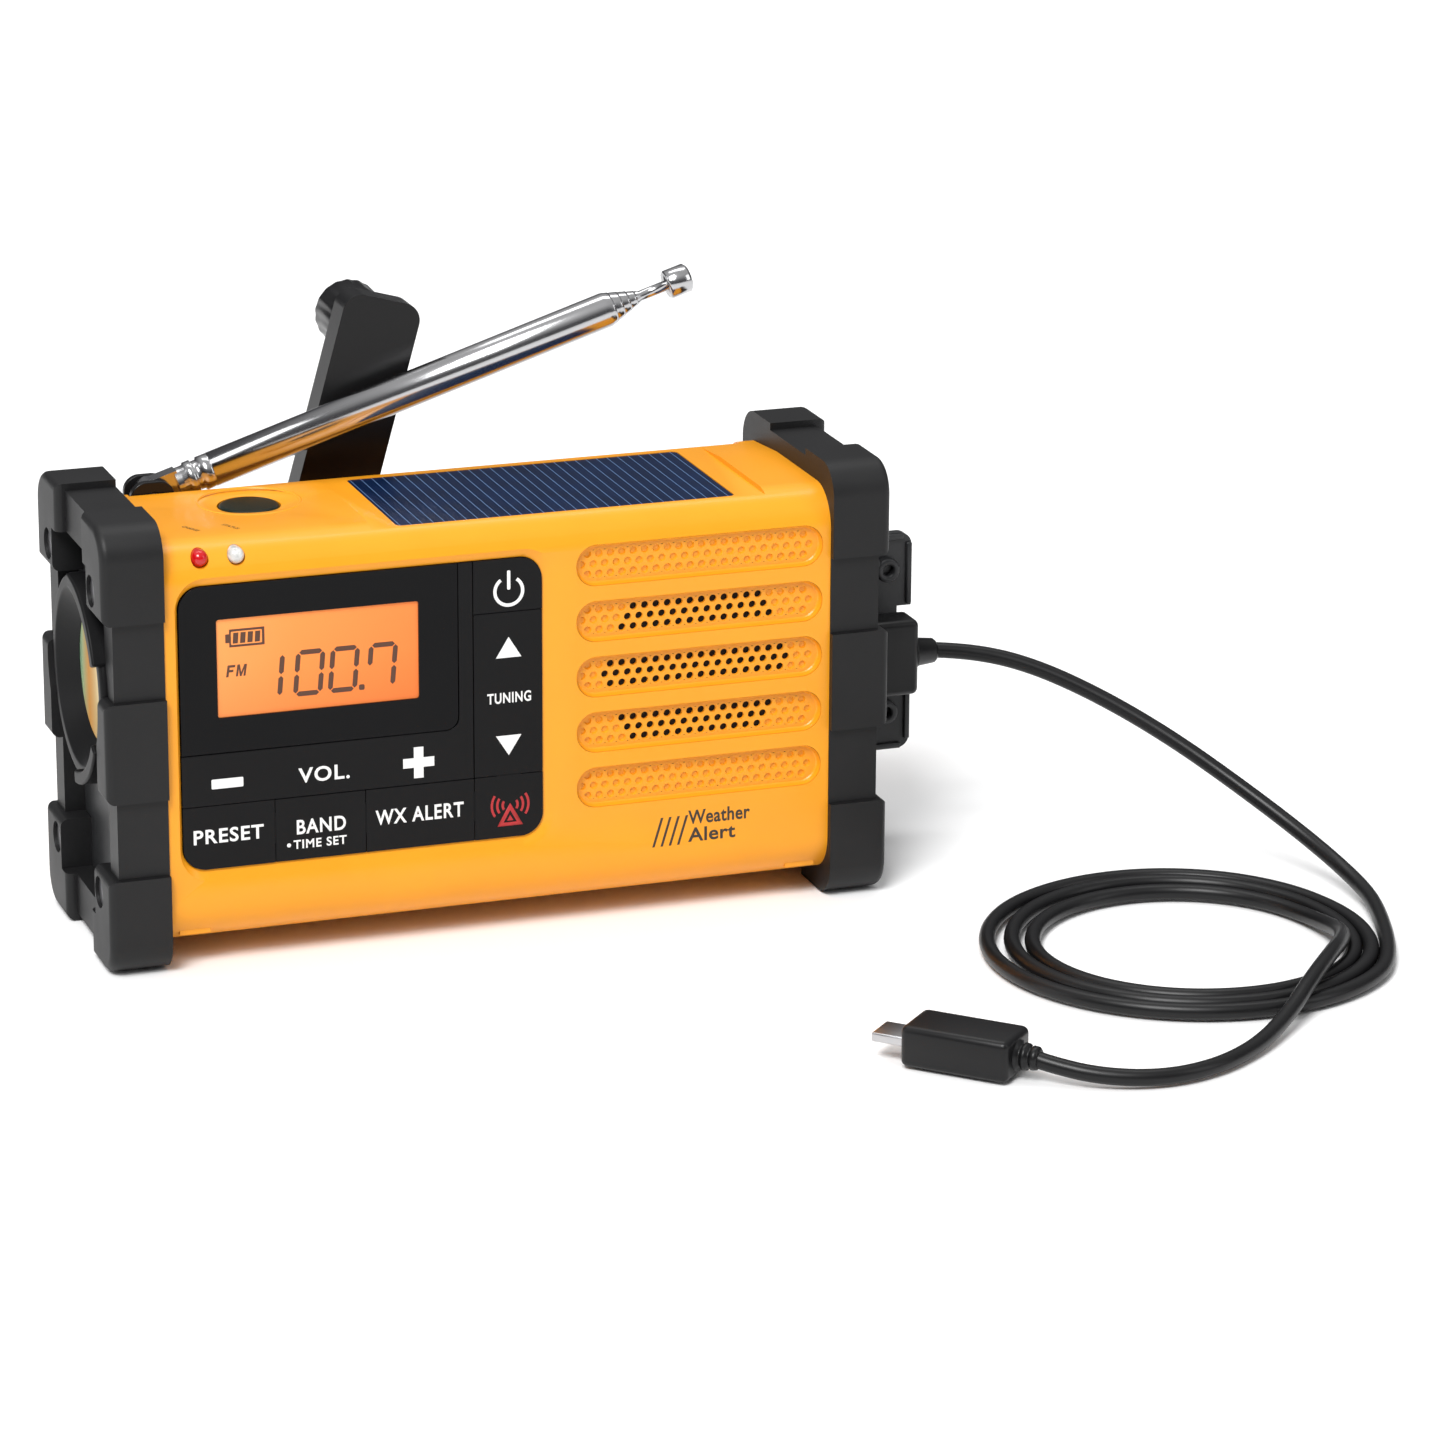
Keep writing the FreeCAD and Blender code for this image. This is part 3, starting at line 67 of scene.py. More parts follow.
# Each soft box: its place, the point it faces, its two sides, and its power in watts.
SOFT_BOXES = {
    "key_light": ((-0.55, -0.9, 1.0), (0, 0, 0.04), (0.6, 0.45), 4.6),
    "fill_light": ((0.95, -0.7, 0.55), (0, 0, 0.04), (0.3, 0.7), 1.6),
    "top_light": ((0.1, 0.35, 1.15), (0.03, 0, 0.06), (1.0, 0.35), 3.6),
    "end_light": ((-1.1, 0.15, 0.35), (0, 0, 0.04), (0.3, 0.5), 1.6),
}
SUN_STRENGTH, SUN_ANGLE, SUN_HEADING = 2.3, math.radians(24), (0.42, 0.5, -0.85)
ROOM_STRENGTH = 0.62
GROUND_GREY, LOW_GREY, SKY_WHITE = (0.1, 0.1, 0.105, 1), (0.2, 0.2, 0.21, 1), (1, 1, 1, 1)
LOW_LEVEL, SKY_LEVEL = 0.3, 0.75
FLOOR_REACH, FLOOR_LEVEL = 6.0, -0.0003
FLOOR_WHITE, FLOOR_ROUGHNESS, FLOOR_SPECULAR = (0.93, 0.93, 0.93, 1), 0.9, 0.1


def make_camera():
    back = Vector((math.sin(AZIMUTH) * math.cos(ELEVATION),
                   -math.cos(AZIMUTH) * math.cos(ELEVATION), math.sin(ELEVATION)))
    level = Vector((math.cos(AZIMUTH), math.sin(AZIMUTH), 0))
    up = back.cross(level)
    right = level * math.cos(ROLL) + up * math.sin(ROLL)
    up = back.cross(right)
    data = bpy.data.cameras.new("camera")
    data.lens = FOCAL_LENGTH
    data.sensor_width = SENSOR_WIDTH
    camera = bpy.data.objects.new("camera", data)
    bpy.context.scene.collection.objects.link(camera)
    turn = Matrix((right, up, back)).transposed().to_4x4()
    camera.matrix_world = Matrix.Translation(TARGET + back * DISTANCE) @ turn
    bpy.context.scene.camera = camera


def area_light(name, place, aim, size, power):
    data = bpy.data.lights.new(name, "AREA")
    data.shape = "RECTANGLE"
    data.size, data.size_y = size
    data.energy = power
    light = bpy.data.objects.new(name, data)
    light.location = place
    light.rotation_euler = (Vector(aim) - Vector(place)).to_track_quat("-Z", "Y").to_euler()
    bpy.context.scene.collection.objects.link(light)


def make_light():
    """Soft boxes and a wide sun, in a pale room that darkens towards the ground."""
    for name, (place, aim, size, power) in SOFT_BOXES.items():
        area_light(name, place, aim, size, power)
    sun = bpy.data.lights.new("even_light", "SUN")
    sun.energy = SUN_STRENGTH
    sun.angle = SUN_ANGLE
    lamp = bpy.data.objects.new("even_light", sun)
    lamp.rotation_euler = Vector(SUN_HEADING).to_track_quat("-Z", "Y").to_euler()
    bpy.context.scene.collection.objects.link(lamp)
    world = bpy.data.worlds.new("room")
    bpy.context.scene.world = world
    world.use_nodes = True
    nodes, links = world.node_tree.nodes, world.node_tree.links
    place = nodes.new("ShaderNodeTexCoord")
    split = nodes.new("ShaderNodeSeparateXYZ")
    ramp = nodes.new("ShaderNodeValToRGB")
    links.new(place.outputs["Generated"], split.inputs[0])
    links.new(split.outputs["Z"], ramp.inputs[0])
    stops = ramp.color_ramp.elements
    stops[0].position, stops[0].color = 0.0, GROUND_GREY
    stops[1].position, stops[1].color = SKY_LEVEL, SKY_WHITE
    stops.new(LOW_LEVEL).color = LOW_GREY
    background = nodes["Background"]
    links.new(ramp.outputs[0], background.inputs["Color"])
    background.inputs["Strength"].default_value = ROOM_STRENGTH


def make_floor():
    mesh = bpy.data.meshes.new("floor")
    corners = [(-FLOOR_REACH, -FLOOR_REACH, FLOOR_LEVEL), (FLOOR_REACH, -FLOOR_REACH, FLOOR_LEVEL),
               (FLOOR_REACH, FLOOR_REACH, FLOOR_LEVEL), (-FLOOR_REACH, FLOOR_REACH, FLOOR_LEVEL)]
    mesh.from_pydata(corners, [], [(0, 1, 2, 3)])
    floor = bpy.data.objects.new("floor", mesh)
    bpy.context.scene.collection.objects.link(floor)
    paper = bpy.data.materials.new("floor_paper")
    paper.use_nodes = True
    shader = paper.node_tree.nodes["Principled BSDF"]
    shader.inputs["Base Color"].default_value = FLOOR_WHITE
    shader.inputs["Roughness"].default_value = FLOOR_ROUGHNESS
    shader.inputs["Specular IOR Level"].default_value = FLOOR_SPECULAR
    mesh.materials.append(paper)


# ---------------------------------------------------------------- materials

DRIFT_DETAIL, GRAIN_DETAIL = 4, 3
DRIFT_LOW, DRIFT_HIGH = 0.3, 0.7
LEAST_ROUGHNESS, RELIEF_STRENGTH = 0.02, 0.6


def surface(name, colour, rough, **extra):
    """Base of every material: tone that drifts a little, uneven gloss and a fine grain in relief.

    tone is the share by which the colour drifts and patch the size of the drift in millimetres.
    grain is the size of the relief and relief its height, both in millimetres. gloss_spread is
    how far the roughness strays to either side. Any other name is a socket of the shader."""
    made = bpy.data.materials.new(name)
    made.use_nodes = True
    nodes, links = made.node_tree.nodes, made.node_tree.links
    shader = nodes["Principled BSDF"]
    tone, patch = extra.pop("tone", 0.05), extra.pop("patch", 14)
    grain, relief = extra.pop("grain", 0.5), extra.pop("relief", 0.01)
    spread = extra.pop("gloss_spread", 0.06)
    place = nodes.new("ShaderNodeTexCoord")
    drift = nodes.new("ShaderNodeTexNoise")
    drift.inputs["Scale"].default_value = 1 / (patch * MM)
    drift.inputs["Detail"].default_value = DRIFT_DETAIL
    links.new(place.outputs["Object"], drift.inputs["Vector"])
    tint = nodes.new("ShaderNodeValToRGB")
    tint.color_ramp.elements[0].position = DRIFT_LOW
    tint.color_ramp.elements[1].position = DRIFT_HIGH
    tint.color_ramp.elements[0].color = (*(c * (1 - tone) for c in colour), 1)
    tint.color_ramp.elements[1].color = (*(min(1, c * (1 + tone)) for c in colour), 1)
    links.new(drift.outputs["Fac"], tint.inputs[0])
    links.new(tint.outputs[0], shader.inputs["Base Color"])
    fine = nodes.new("ShaderNodeTexNoise")
    fine.inputs["Scale"].default_value = 1 / (grain * MM)
    fine.inputs["Detail"].default_value = GRAIN_DETAIL
    links.new(place.outputs["Object"], fine.inputs["Vector"])
    gloss = nodes.new("ShaderNodeMapRange")
    gloss.inputs["To Min"].default_value = max(LEAST_ROUGHNESS, rough - spread)
    gloss.inputs["To Max"].default_value = min(1, rough + spread)
    links.new(drift.outputs["Fac"], gloss.inputs["Value"])
    links.new(gloss.outputs[0], shader.inputs["Roughness"])
    bump = nodes.new("ShaderNodeBump")
    bump.inputs["Strength"].default_value = RELIEF_STRENGTH
    bump.inputs["Distance"].default_value = relief * MM
    links.new(fine.outputs["Fac"], bump.inputs["Height"])
    links.new(bump.outputs[0], shader.inputs["Normal"])
    for key, value in extra.items():
        shader.inputs[key.replace("_", " ")].default_value = value
    return made


def make_materials():
    kinds = {
        "yellow": surface("yellow_case", (0.86, 0.335, 0.012), 0.34, tone=0.02, relief=0.006,
                          grain=0.35, Specular_IOR_Level=0.35, Coat_Weight=0.12,
                          Coat_Roughness=0.2),
        "rubber": surface("bumper_rubber", (0.0085, 0.0085, 0.009), 0.5, tone=0.14, relief=0.02,
                          grain=0.45, gloss_spread=0.08, Specular_IOR_Level=0.32),
        "panel": surface("end_plastic", (0.02, 0.0205, 0.022), 0.36, tone=0.1, relief=0.008,
                         Specular_IOR_Level=0.4),
        "key": surface("key_plastic", (0.006, 0.006, 0.0065), 0.4, tone=0.1, relief=0.008,
                       grain=0.3, Specular_IOR_Level=0.14),
        "gloss": surface("gloss_black", (0.0035, 0.0035, 0.004), 0.09, tone=0.1, relief=0.001,
                         gloss_spread=0.02, Specular_IOR_Level=0.12),
        "black": surface("black_plastic", (0.006, 0.006, 0.0065), 0.3, tone=0.1, relief=0.01,
                         Specular_IOR_Level=0.28),
        "chrome": surface("plated_tube", (0.5, 0.5, 0.51), 0.17, tone=0.03, relief=0.0008,
                          gloss_spread=0.03, Metallic=1.0),
        "steel": surface("plain_steel", (0.5, 0.5, 0.51), 0.3, relief=0.004, Metallic=1.0),
        "screw": surface("black_zinc", (0.2, 0.2, 0.21), 0.3, relief=0.006, Metallic=0.9),
        "brass": surface("gear_brass", (0.66, 0.45, 0.16), 0.3, relief=0.004, Metallic=1.0),
        "cable": surface("cable_sheath", (0.0055, 0.0055, 0.006), 0.36, tone=0.15, relief=0.012,
                         grain=0.6, Specular_IOR_Level=0.3),
        "legend": surface("white_print", (0.86, 0.86, 0.85), 0.5, tone=0.02, relief=0.002),
        "red_print": surface("red_print", (0.42, 0.018, 0.022), 0.5, tone=0.04, relief=0.002),
        "black_print": surface("black_print", (0.03, 0.024, 0.016), 0.5, relief=0.002),
        "segment": surface("display_segment", (0.085, 0.03, 0.012), 0.35, tone=0.05,
                           relief=0.001),
        "red_lamp": surface("red_lamp", (0.5, 0.004, 0.008), 0.15, relief=0.001,
                            Coat_Weight=0.25, Coat_Roughness=0.03),
        # The clear lamps' strong, fine mottling of light and dark is painted sparkle.
        "clear_lamp": surface("clear_lamp", (0.62, 0.62, 0.6), 0.1, tone=0.3, patch=1.1,
                              relief=0.02, Coat_Weight=1.0, Coat_Roughness=0.03),
        "green_button": surface("green_button", (0.004, 0.01, 0.006), 0.35, tone=0.12,
                                relief=0.01, Specular_IOR_Level=0.18),
        "board": surface("solder_mask", (0.015, 0.13, 0.05), 0.4),
        "blue": surface("shrink_sleeve", (0.03, 0.08, 0.3), 0.4),
        "dark_gap": surface("dark_cloth", (0.008, 0.007, 0.006), 0.9, relief=0.05, grain=0.4),
        "bezel": surface("bezel_plastic", (0.005, 0.005, 0.0055), 0.45, relief=0.008,
                         Specular_IOR_Level=0.16),
        # Darker copy of the case yellow for the walls of the grille's holes and dimples: painted
        # shade in the recesses.
        "recess": surface("yellow_recess", (0.42, 0.12, 0.003), 0.45, tone=0.03, relief=0.004),
    }
    kinds["display"] = display_material()
    kinds["solar"] = solar_material()
    kinds["lens"] = lens_material()
    return kinds


def gradient(nodes, links, axis, low, high, stops):
    """A colour ramp along one axis of a piece's own frame, between two levels in metres."""
    place = nodes.new("ShaderNodeTexCoord")
    split = nodes.new("ShaderNodeSeparateXYZ")
    links.new(place.outputs["Object"], split.inputs[0])
    spread = nodes.new("ShaderNodeMapRange")
    spread.inputs["From Min"].default_value = low
    spread.inputs["From Max"].default_value = high
    links.new(split.outputs[axis], spread.inputs["Value"])
    ramp = nodes.new("ShaderNodeValToRGB")
    elements = ramp.color_ramp.elements
    while len(elements) < len(stops):
        elements.new(0.5)
    for element, (position, colour) in zip(elements, stops):
        element.position = position
        element.color = (*colour, 1)
    links.new(spread.outputs[0], ramp.inputs[0])
    return ramp


# Places along a ramp from 0 to 1, each with its colour.
DISPLAY_ACROSS = [(0, (0.85, 0.3, 0.085)), (0.4, (0.82, 0.25, 0.06)), (1, (0.76, 0.2, 0.045))]
DISPLAY_UP = [(0, (0.85, 0.74, 0.7)), (0.5, (0.95, 0.92, 0.9)), (1, (1, 1, 1))]
LENS_COATING = [(0, (0.5, 0.55, 0.3)), (0.45, (0.8, 0.62, 0.3)), (0.72, (0.85, 0.4, 0.1)),
                (0.9, (0.45, 0.55, 0.3)), (1, (0.12, 0.3, 0.2))]
# The lens's glow strength is painted light: the flashlight itself is not lit.
DISPLAY_GLOW, LENS_PAINTED_GLOW = 0.3, 0.25


def display_material():
    """Lit display: orange, paler towards one upper corner, with a faint glow of its own."""
    made = surface("lit_display", (0.8, 0.24, 0.06), 0.3, relief=0.001, Specular_IOR_Level=0.2)
    nodes, links = made.node_tree.nodes, made.node_tree.links
    shader = nodes["Principled BSDF"]
    low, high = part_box("lcd_module")
    across = gradient(nodes, links, "X", low.x, high.x, DISPLAY_ACROSS)
    up = gradient(nodes, links, "Z", low.z, high.z, DISPLAY_UP)
    mix = nodes.new("ShaderNodeMix")
    mix.data_type = "RGBA"
    mix.blend_type = "MULTIPLY"
    mix.inputs["Factor"].default_value = 1
    links.new(across.outputs[0], mix.inputs["A"])
    links.new(up.outputs[0], mix.inputs["B"])
    links.new(mix.outputs["Result"], shader.inputs["Base Color"])
    links.new(mix.outputs["Result"], shader.inputs["Emission Color"])
    shader.inputs["Emission Strength"].default_value = DISPLAY_GLOW
    return made


LINE_PITCH, LINE_SHARE, LINE_SHIFT = 2.2 * MM, 0.06, 0.45
LINE_COLOUR = (0.12, 0.22, 0.42, 1)


def solar_material():
    """Dark blue cell with pale collector lines across it."""
    made = surface("solar_cell", (0.002, 0.011, 0.042), 0.35, tone=0.25, patch=5, relief=0.002,
                   Specular_IOR_Level=0.16)
    nodes, links = made.node_tree.nodes, made.node_tree.links
    shader = nodes["Principled BSDF"]
    blue = shader.inputs["Base Color"].links[0].from_socket
    place = nodes.new("ShaderNodeTexCoord")
    split = nodes.new("ShaderNodeSeparateXYZ")
    links.new(place.outputs["Object"], split.inputs[0])
    shift = nodes.new("ShaderNodeMath")
    shift.operation = "MULTIPLY_ADD"
    shift.inputs[1].default_value = 1 / LINE_PITCH
    shift.inputs[2].default_value = LINE_SHIFT
    links.new(split.outputs["X"], shift.inputs[0])
    wrap = nodes.new("ShaderNodeMath")
    wrap.operation = "FRACT"
    links.new(shift.outputs[0], wrap.inputs[0])
    thin = nodes.new("ShaderNodeMath")
    thin.operation = "LESS_THAN"
    thin.inputs[1].default_value = LINE_SHARE
    links.new(wrap.outputs[0], thin.inputs[0])
    mix = nodes.new("ShaderNodeMix")
    mix.data_type = "RGBA"
    links.new(thin.outputs[0], mix.inputs["Factor"])
    links.new(blue, mix.inputs["A"])
    mix.inputs["B"].default_value = LINE_COLOUR
    links.new(mix.outputs["Result"], shader.inputs["Base Color"])
    return made


def lens_material():
    """Coated flashlight lens: amber in the middle, green towards the rim, very glossy, with a
    painted glow in the same colours although the flashlight is not lit.
    """
    made = surface("coated_lens", (0.5, 0.35, 0.1), 0.12, relief=0.001, Coat_Weight=0.5,
                   Coat_Roughness=0.03, Metallic=0.3, gloss_spread=0.02)
    nodes, links = made.node_tree.nodes, made.node_tree.links
    low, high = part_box("flashlight_lens")
    ramp = gradient(nodes, links, "Y", low.y, high.y, LENS_COATING)
    shader = nodes["Principled BSDF"]
    links.new(ramp.outputs[0], shader.inputs["Base Color"])
    # Painted glow: the unlit lens gives off light in its coating's colours.
    links.new(ramp.outputs[0], shader.inputs["Emission Color"])
    shader.inputs["Emission Strength"].default_value = LENS_PAINTED_GLOW
    return made


# ---------------------------------------------------------------- mesh helpers

CORNER_ANGLE = 32  # edges sharper than this many degrees are rounded
WELD_DISTANCE = 0.00001


def link_piece(name, mesh, material, body):
    for face in mesh.polygons:
        face.use_smooth = True
    mesh.materials.clear()
    mesh.materials.append(MATERIALS[material])
    piece = bpy.data.objects.new(name, mesh)
    bpy.context.scene.collection.objects.link(piece)
    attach(piece, body)
    return piece


def from_bmesh(name, shape, material, body):
    bmesh.ops.recalc_face_normals(shape, faces=shape.faces)
    mesh = bpy.data.meshes.new(name)
    shape.to_mesh(mesh)
    shape.free()
    return link_piece(name, mesh, material, body)


def round_edges(piece, width, segments=3):
    """Rounds the edges of a piece by a width in millimetres."""
    bevel = piece.modifiers.new("round_edges", "BEVEL")
    bevel.width = width * MM
    bevel.segments = segments
    bevel.limit_method = "ANGLE"
    bevel.angle_limit = math.radians(CORNER_ANGLE)
    bevel.harden_normals = True
    bevel.use_clamp_overlap = True
    return piece


def carry_over(node, material, width=0.0, segments=3):
    """Gives a CAD node its material, and soft edges where a width is stated."""
    item = NODES[node]
    item.data.materials.clear()
    item.data.materials.append(MATERIALS[material])
    if width:
        if "custom_normal" in item.data.attributes:
            item.data.attributes.remove(item.data.attributes["custom_normal"])
        for face in item.data.polygons:
            face.use_smooth = True
        weld = item.modifiers.new("weld", "WELD")
        weld.merge_threshold = WELD_DISTANCE
        round_edges(item, width, segments)


def basis(axis):
    """Two directions across an axis."""
    helper = Vector((0, 0, 1)) if abs(axis.z) < 0.9 else Vector((1, 0, 0))
    across = axis.cross(helper).normalized()
    return across, axis.cross(across)


def bridge(shape, first, second):
    """Faces between two closed loops that have the same number of vertices."""
    faces = []
    for step in range(len(first)):
        following = (step + 1) % len(first)
        faces.append(shape.faces.new((first[step], first[following], second[following],
                                      second[step])))
    return faces


def lathe(name, origin, axis, profile, material, body, count=72):
    """A turned piece. The profile is (distance along the axis, radius) in millimetres."""
    axis = Vector(axis).normalized()
    across, up = basis(axis)
    shape = bmesh.new()
    rings = []
    for along, radius in profile:
        centre = Vector(origin) + axis * along * MM
        if not radius:
            rings.append([shape.verts.new(centre)])
            continue
        ring = []
        for step in range(count):
            angle = 2 * math.pi * step / count
            ring.append(shape.verts.new(centre + (across * math.cos(angle) + up * math.sin(angle))
                                        * radius * MM))
        rings.append(ring)
    for first, second in zip(rings, rings[1:]):
        if len(first) == len(second):
            bridge(shape, first, second)
            continue
        for step in range(count):
            following = (step + 1) % count
            if len(first) == 1:
                shape.faces.new((first[0], second[following], second[step]))
            else:
                shape.faces.new((first[step], first[following], second[0]))
    return from_bmesh(name, shape, material, body)


def slab(name, outline, low_y, high_y, material, body, edge=0.0):
    """An outline in X and Z, in millimetres, made thick along Y, and rounded by edge."""
    shape = bmesh.new()
    front = [shape.verts.new(mm(x, low_y, z)) for x, z in outline]
    rear = [shape.verts.new(mm(x, high_y, z)) for x, z in outline]
    shape.faces.new(front)
    shape.faces.new(list(reversed(rear)))
    bridge(shape, rear, front)
    piece = from_bmesh(name, shape, material, body)
    if edge:
        return round_edges(piece, edge)
    for face in piece.data.polygons:
        face.use_smooth = False
    return piece


def arc_points(centre, radius, start, end, steps):
    """Points on an arc, angles in degrees."""
    angles = [math.radians(start + (end - start) * i / steps) for i in range(steps + 1)]
    return [(centre[0] + radius * math.cos(angle), centre[1] + radius * math.sin(angle))
            for angle in angles]


def band_outline(centre, inner, outer, start, end, steps=24):
    """A curved band between two radii, angles in degrees."""
    return (arc_points(centre, outer, start, end, steps)
            + list(reversed(arc_points(centre, inner, start, end, steps))))


def rounded_outline(left, right, low, high, radius, steps=8):
    """A rectangle with round corners."""
    corners = [((right - radius, low + radius), -90), ((right - radius, high - radius), 0),
               ((left + radius, high - radius), 90), ((left + radius, low + radius), 180)]
    points = []
    for centre, start in corners:
        points += arc_points(centre, radius, start, start + 90, steps)
    return points


def rounded_block(name, low, high, radius, material, body, segments=4):
    """A box in millimetres with every edge rounded."""
    shape = bmesh.new()
    bmesh.ops.create_cube(shape, size=1)
    for vertex in shape.verts:
        spot = [(a + b) / 2 + c * (b - a) for a, b, c in zip(low, high, vertex.co)]
        vertex.co = Vector(spot) * MM
    bmesh.ops.bevel(shape, geom=shape.edges[:], offset=radius * MM, segments=segments, profile=0.5,
                    affect="EDGES")
    return from_bmesh(name, shape, material, body)


def lettering(name, words, left, right, low, high, level, material, body, weight=0.02,
              spacing=1.12):
    """Flat printed words that fill a rectangle on the front, in millimetres."""
    curve = bpy.data.curves.new(name, "FONT")
    curve.body = words
    curve.offset = weight
    curve.space_character = spacing
    curve.extrude = 0.01
    curve.resolution_u = 4
    carrier = bpy.data.objects.new(name, curve)
    bpy.context.scene.collection.objects.link(carrier)
    bpy.context.view_layer.update()
    ready = carrier.evaluated_get(bpy.context.evaluated_depsgraph_get())
    mesh = bpy.data.meshes.new_from_object(ready)
    bpy.data.objects.remove(carrier)
    xs, ys = [v.co.x for v in mesh.vertices], [v.co.y for v in mesh.vertices]
    wide, tall = (right - left) / (max(xs) - min(xs)), (high - low) / (max(ys) - min(ys))
    for vertex in mesh.vertices:
        x = left + (vertex.co.x - min(xs)) * wide
        z = low + (vertex.co.y - min(ys)) * tall
        vertex.co = mm(x, level - vertex.co.z * 2, z)
    mesh.name = name
    piece = link_piece(name, mesh, material, body)
    for face in mesh.polygons:
        face.use_smooth = False
    return piece


# ---------------------------------------------------------------- case and bumpers

LAMP_LABELS = [("charge_label", "CHARGE", -57.5, -11.5), ("status_label", "STATUS", -50, -12.5)]
LABEL_TURN = math.radians(-62)
# Name, word, right edge and foot of each line of the plain print below the grille.
BAND_PRINT = [("print_upper", "Weather", 50.2, 18.2), ("print_lower", "Alert", 47.2, 14.6)]
RIB_ANGLES = [("upper_rib", 22, 92), ("lower_rib", -86, -28)]


def add_case_prints():
    """Lip round the light button's dish, two small lamp labels and a plain band print."""
    middle = (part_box("light_button")[0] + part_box("light_button")[1]) / 2
    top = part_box("front_shell")[1].z
    for name, radius, height in (("dish_lip", 9.9, 0.0), ("button_lip", 6.9, -0.95)):
        ring = [(height - 0.2, radius - 0.3), (height + 0.02, radius - 0.22),
                (height + 0.1, radius), (height + 0.02, radius + 0.22),
                (height - 0.2, radius + 0.3)]
        lathe(name, (middle.x, middle.y, top), (0, 0, 1), ring, "yellow", "case",
              96)
    for name, words, x, y in LAMP_LABELS:
        label = lettering(name, words, -2.2, 2.2, -0.45, 0.45, 0, "black_print", "case", 0.0, 1.0)
        lie_down = Matrix.Rotation(math.radians(-90), 4, "X")
        label.data.transform(Matrix.Translation((x * MM, y * MM, top + 0.00001))
                             @ Matrix.Rotation(LABEL_TURN, 4, "Z") @ lie_down)
    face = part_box("front_shell")[0].y / MM
    for name, word, right, low in BAND_PRINT:
        lettering(name, word, 37.4, right, low, low + 2.9, face - 0.01, "black_print", "case",
                  0.02, 1.05)
    for step in range(4):
        start = 30.0 + 1.7 * step
        stroke = [(start, 14.3), (start + 0.5, 14.3), (start + 2.3, 20.2), (start + 1.8, 20.2)]
        slab(f"print_stroke_{step}", stroke, face - 0.02, face + 0.05, "black_print", "case")


def add_bezel_ribs():
    """Two curved finger ribs on the near side of the flashlight's ring."""
    low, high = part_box("flashlight_bezel")
    middle = (low + high) / 2
    for name, start, end in RIB_ANGLES:
        outline = band_outline((0, 0), 18.0, 20.6, start, end, 18)
        rib = slab(name, outline, -1.4, 3.2, "bezel", "case", 0.5)
        turn = Matrix(((0, 1, 0, low.x), (-1, 0, 0, middle.y), (0, 0, 1, middle.z), (0, 0, 0, 1)))
        rib.data.transform(turn)


def add_flap_relief():
    """Raised rim and two locating rings on the inner face of the open flap."""
    low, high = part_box("port_flap")
    left, right = 79.6, high.x / MM
    bottom, top, face = low.z / MM, high.z / MM, 11.4
    bars = {"outer_upper": (right - 1.3, right - 0.1, 47.6, top - 2),
            "outer_lower": (right - 1.3, right - 0.1, bottom + 2, 43),
            "upper": (left, right - 2, top - 1.3, top - 0.1),
            "lower": (left, right - 2, bottom + 0.1, bottom + 1.3)}
    for name, (start, end, base, tip) in bars.items():
        rounded_block(f"flap_rim_{name}", (start, face - 0.8, base), (end, face + 0.3, tip), 0.3,
                      "panel", "flap", 2)
    ring = [(-0.3, 2.6), (1.4, 2.5), (1.7, 2.2), (1.7, 1.4), (1.4, 1.1), (-0.3, 1.05)]
    for name, level in (("flap_ring_upper", 55.2), ("flap_ring_lower", 25.2)):
        lathe(name, mm(right - 5.5, face, level), (0, -1, 0), ring, "panel", "flap", 40)


# Material of each CAD piece that is kept as it is, and the rounding of its edges.
DRESS = {
    "front_shell": ("yellow", 0.35),
    "rear_shell": ("yellow", 0.35),
    "battery_cover": ("yellow", 0.3),
    "case_screws": ("screw", 0.15),
    "left_end_panel": ("panel", 0.3),
    "right_end_panel": ("panel", 0.3),
    "bumper_screws": ("screw", 0.12),
    "keypad_base": ("black", 0),
    "display_window": ("gloss", 0.2),
    "volume_key": ("key", 0.12),
    "tuning_key": ("key", 0.12),
    "power_key": ("key", 0.12),
    "alert_key": ("key", 0.12),
    "preset_key": ("key", 0.12),
    "band_key": ("key", 0.12),
    "weather_key": ("key", 0.12),
    "solar_panel": ("solar", 0.15),
    "light_button": ("green_button", 0.4),
    "charge_led": ("red_lamp", 0),
    "status_led": ("clear_lamp", 0),
    "flashlight_bezel": ("bezel", 0.3),
    "flashlight_lens": ("lens", 0.2),
    "flashlight_reflector": ("chrome", 0),
    "flashlight_led": ("clear_lamp", 0),
    "lcd_module": ("display", 0.1),
    "speaker_frame": ("steel", 0),
    "speaker_cone": ("dark_gap", 0),
    "circuit_boards": ("board", 0),
    "ferrite_antenna": ("black", 0),
    "battery_pack": ("blue", 0),
    "usb_socket": ("steel", 0),
    "charge_inlet": ("steel", 0),
    "headphone_jack": ("black", 0),
    "antenna_mount": ("black", 0.25),
    "antenna_pin": ("steel", 0),
    "crank_hub": ("black", 0.4),
    "crank_hinge_pin": ("steel", 0),
    "crank_arm": ("black", 0.6),
    "knob_screw": ("screw", 0.15),
    "crank_gear": ("black", 0),
    "idler_gear": ("brass", 0),
    "dynamo_pinion": ("brass", 0),
    "gearbox_plate": ("steel", 0),
    "dynamo": ("steel", 0),
    "port_flap": ("panel", 0.4),
}
BUMPER_ROUNDING, BUMPER_SEGMENTS = 1.1, 4


def dress_case():
    for node, (material, width) in DRESS.items():
        carry_over(node, material, width)
    for node in ("left_bumper", "right_bumper"):
        carry_over(node, "rubber", BUMPER_ROUNDING, BUMPER_SEGMENTS)
    add_bezel_ribs()
    add_flap_relief()


# ---------------------------------------------------------------- speaker grille

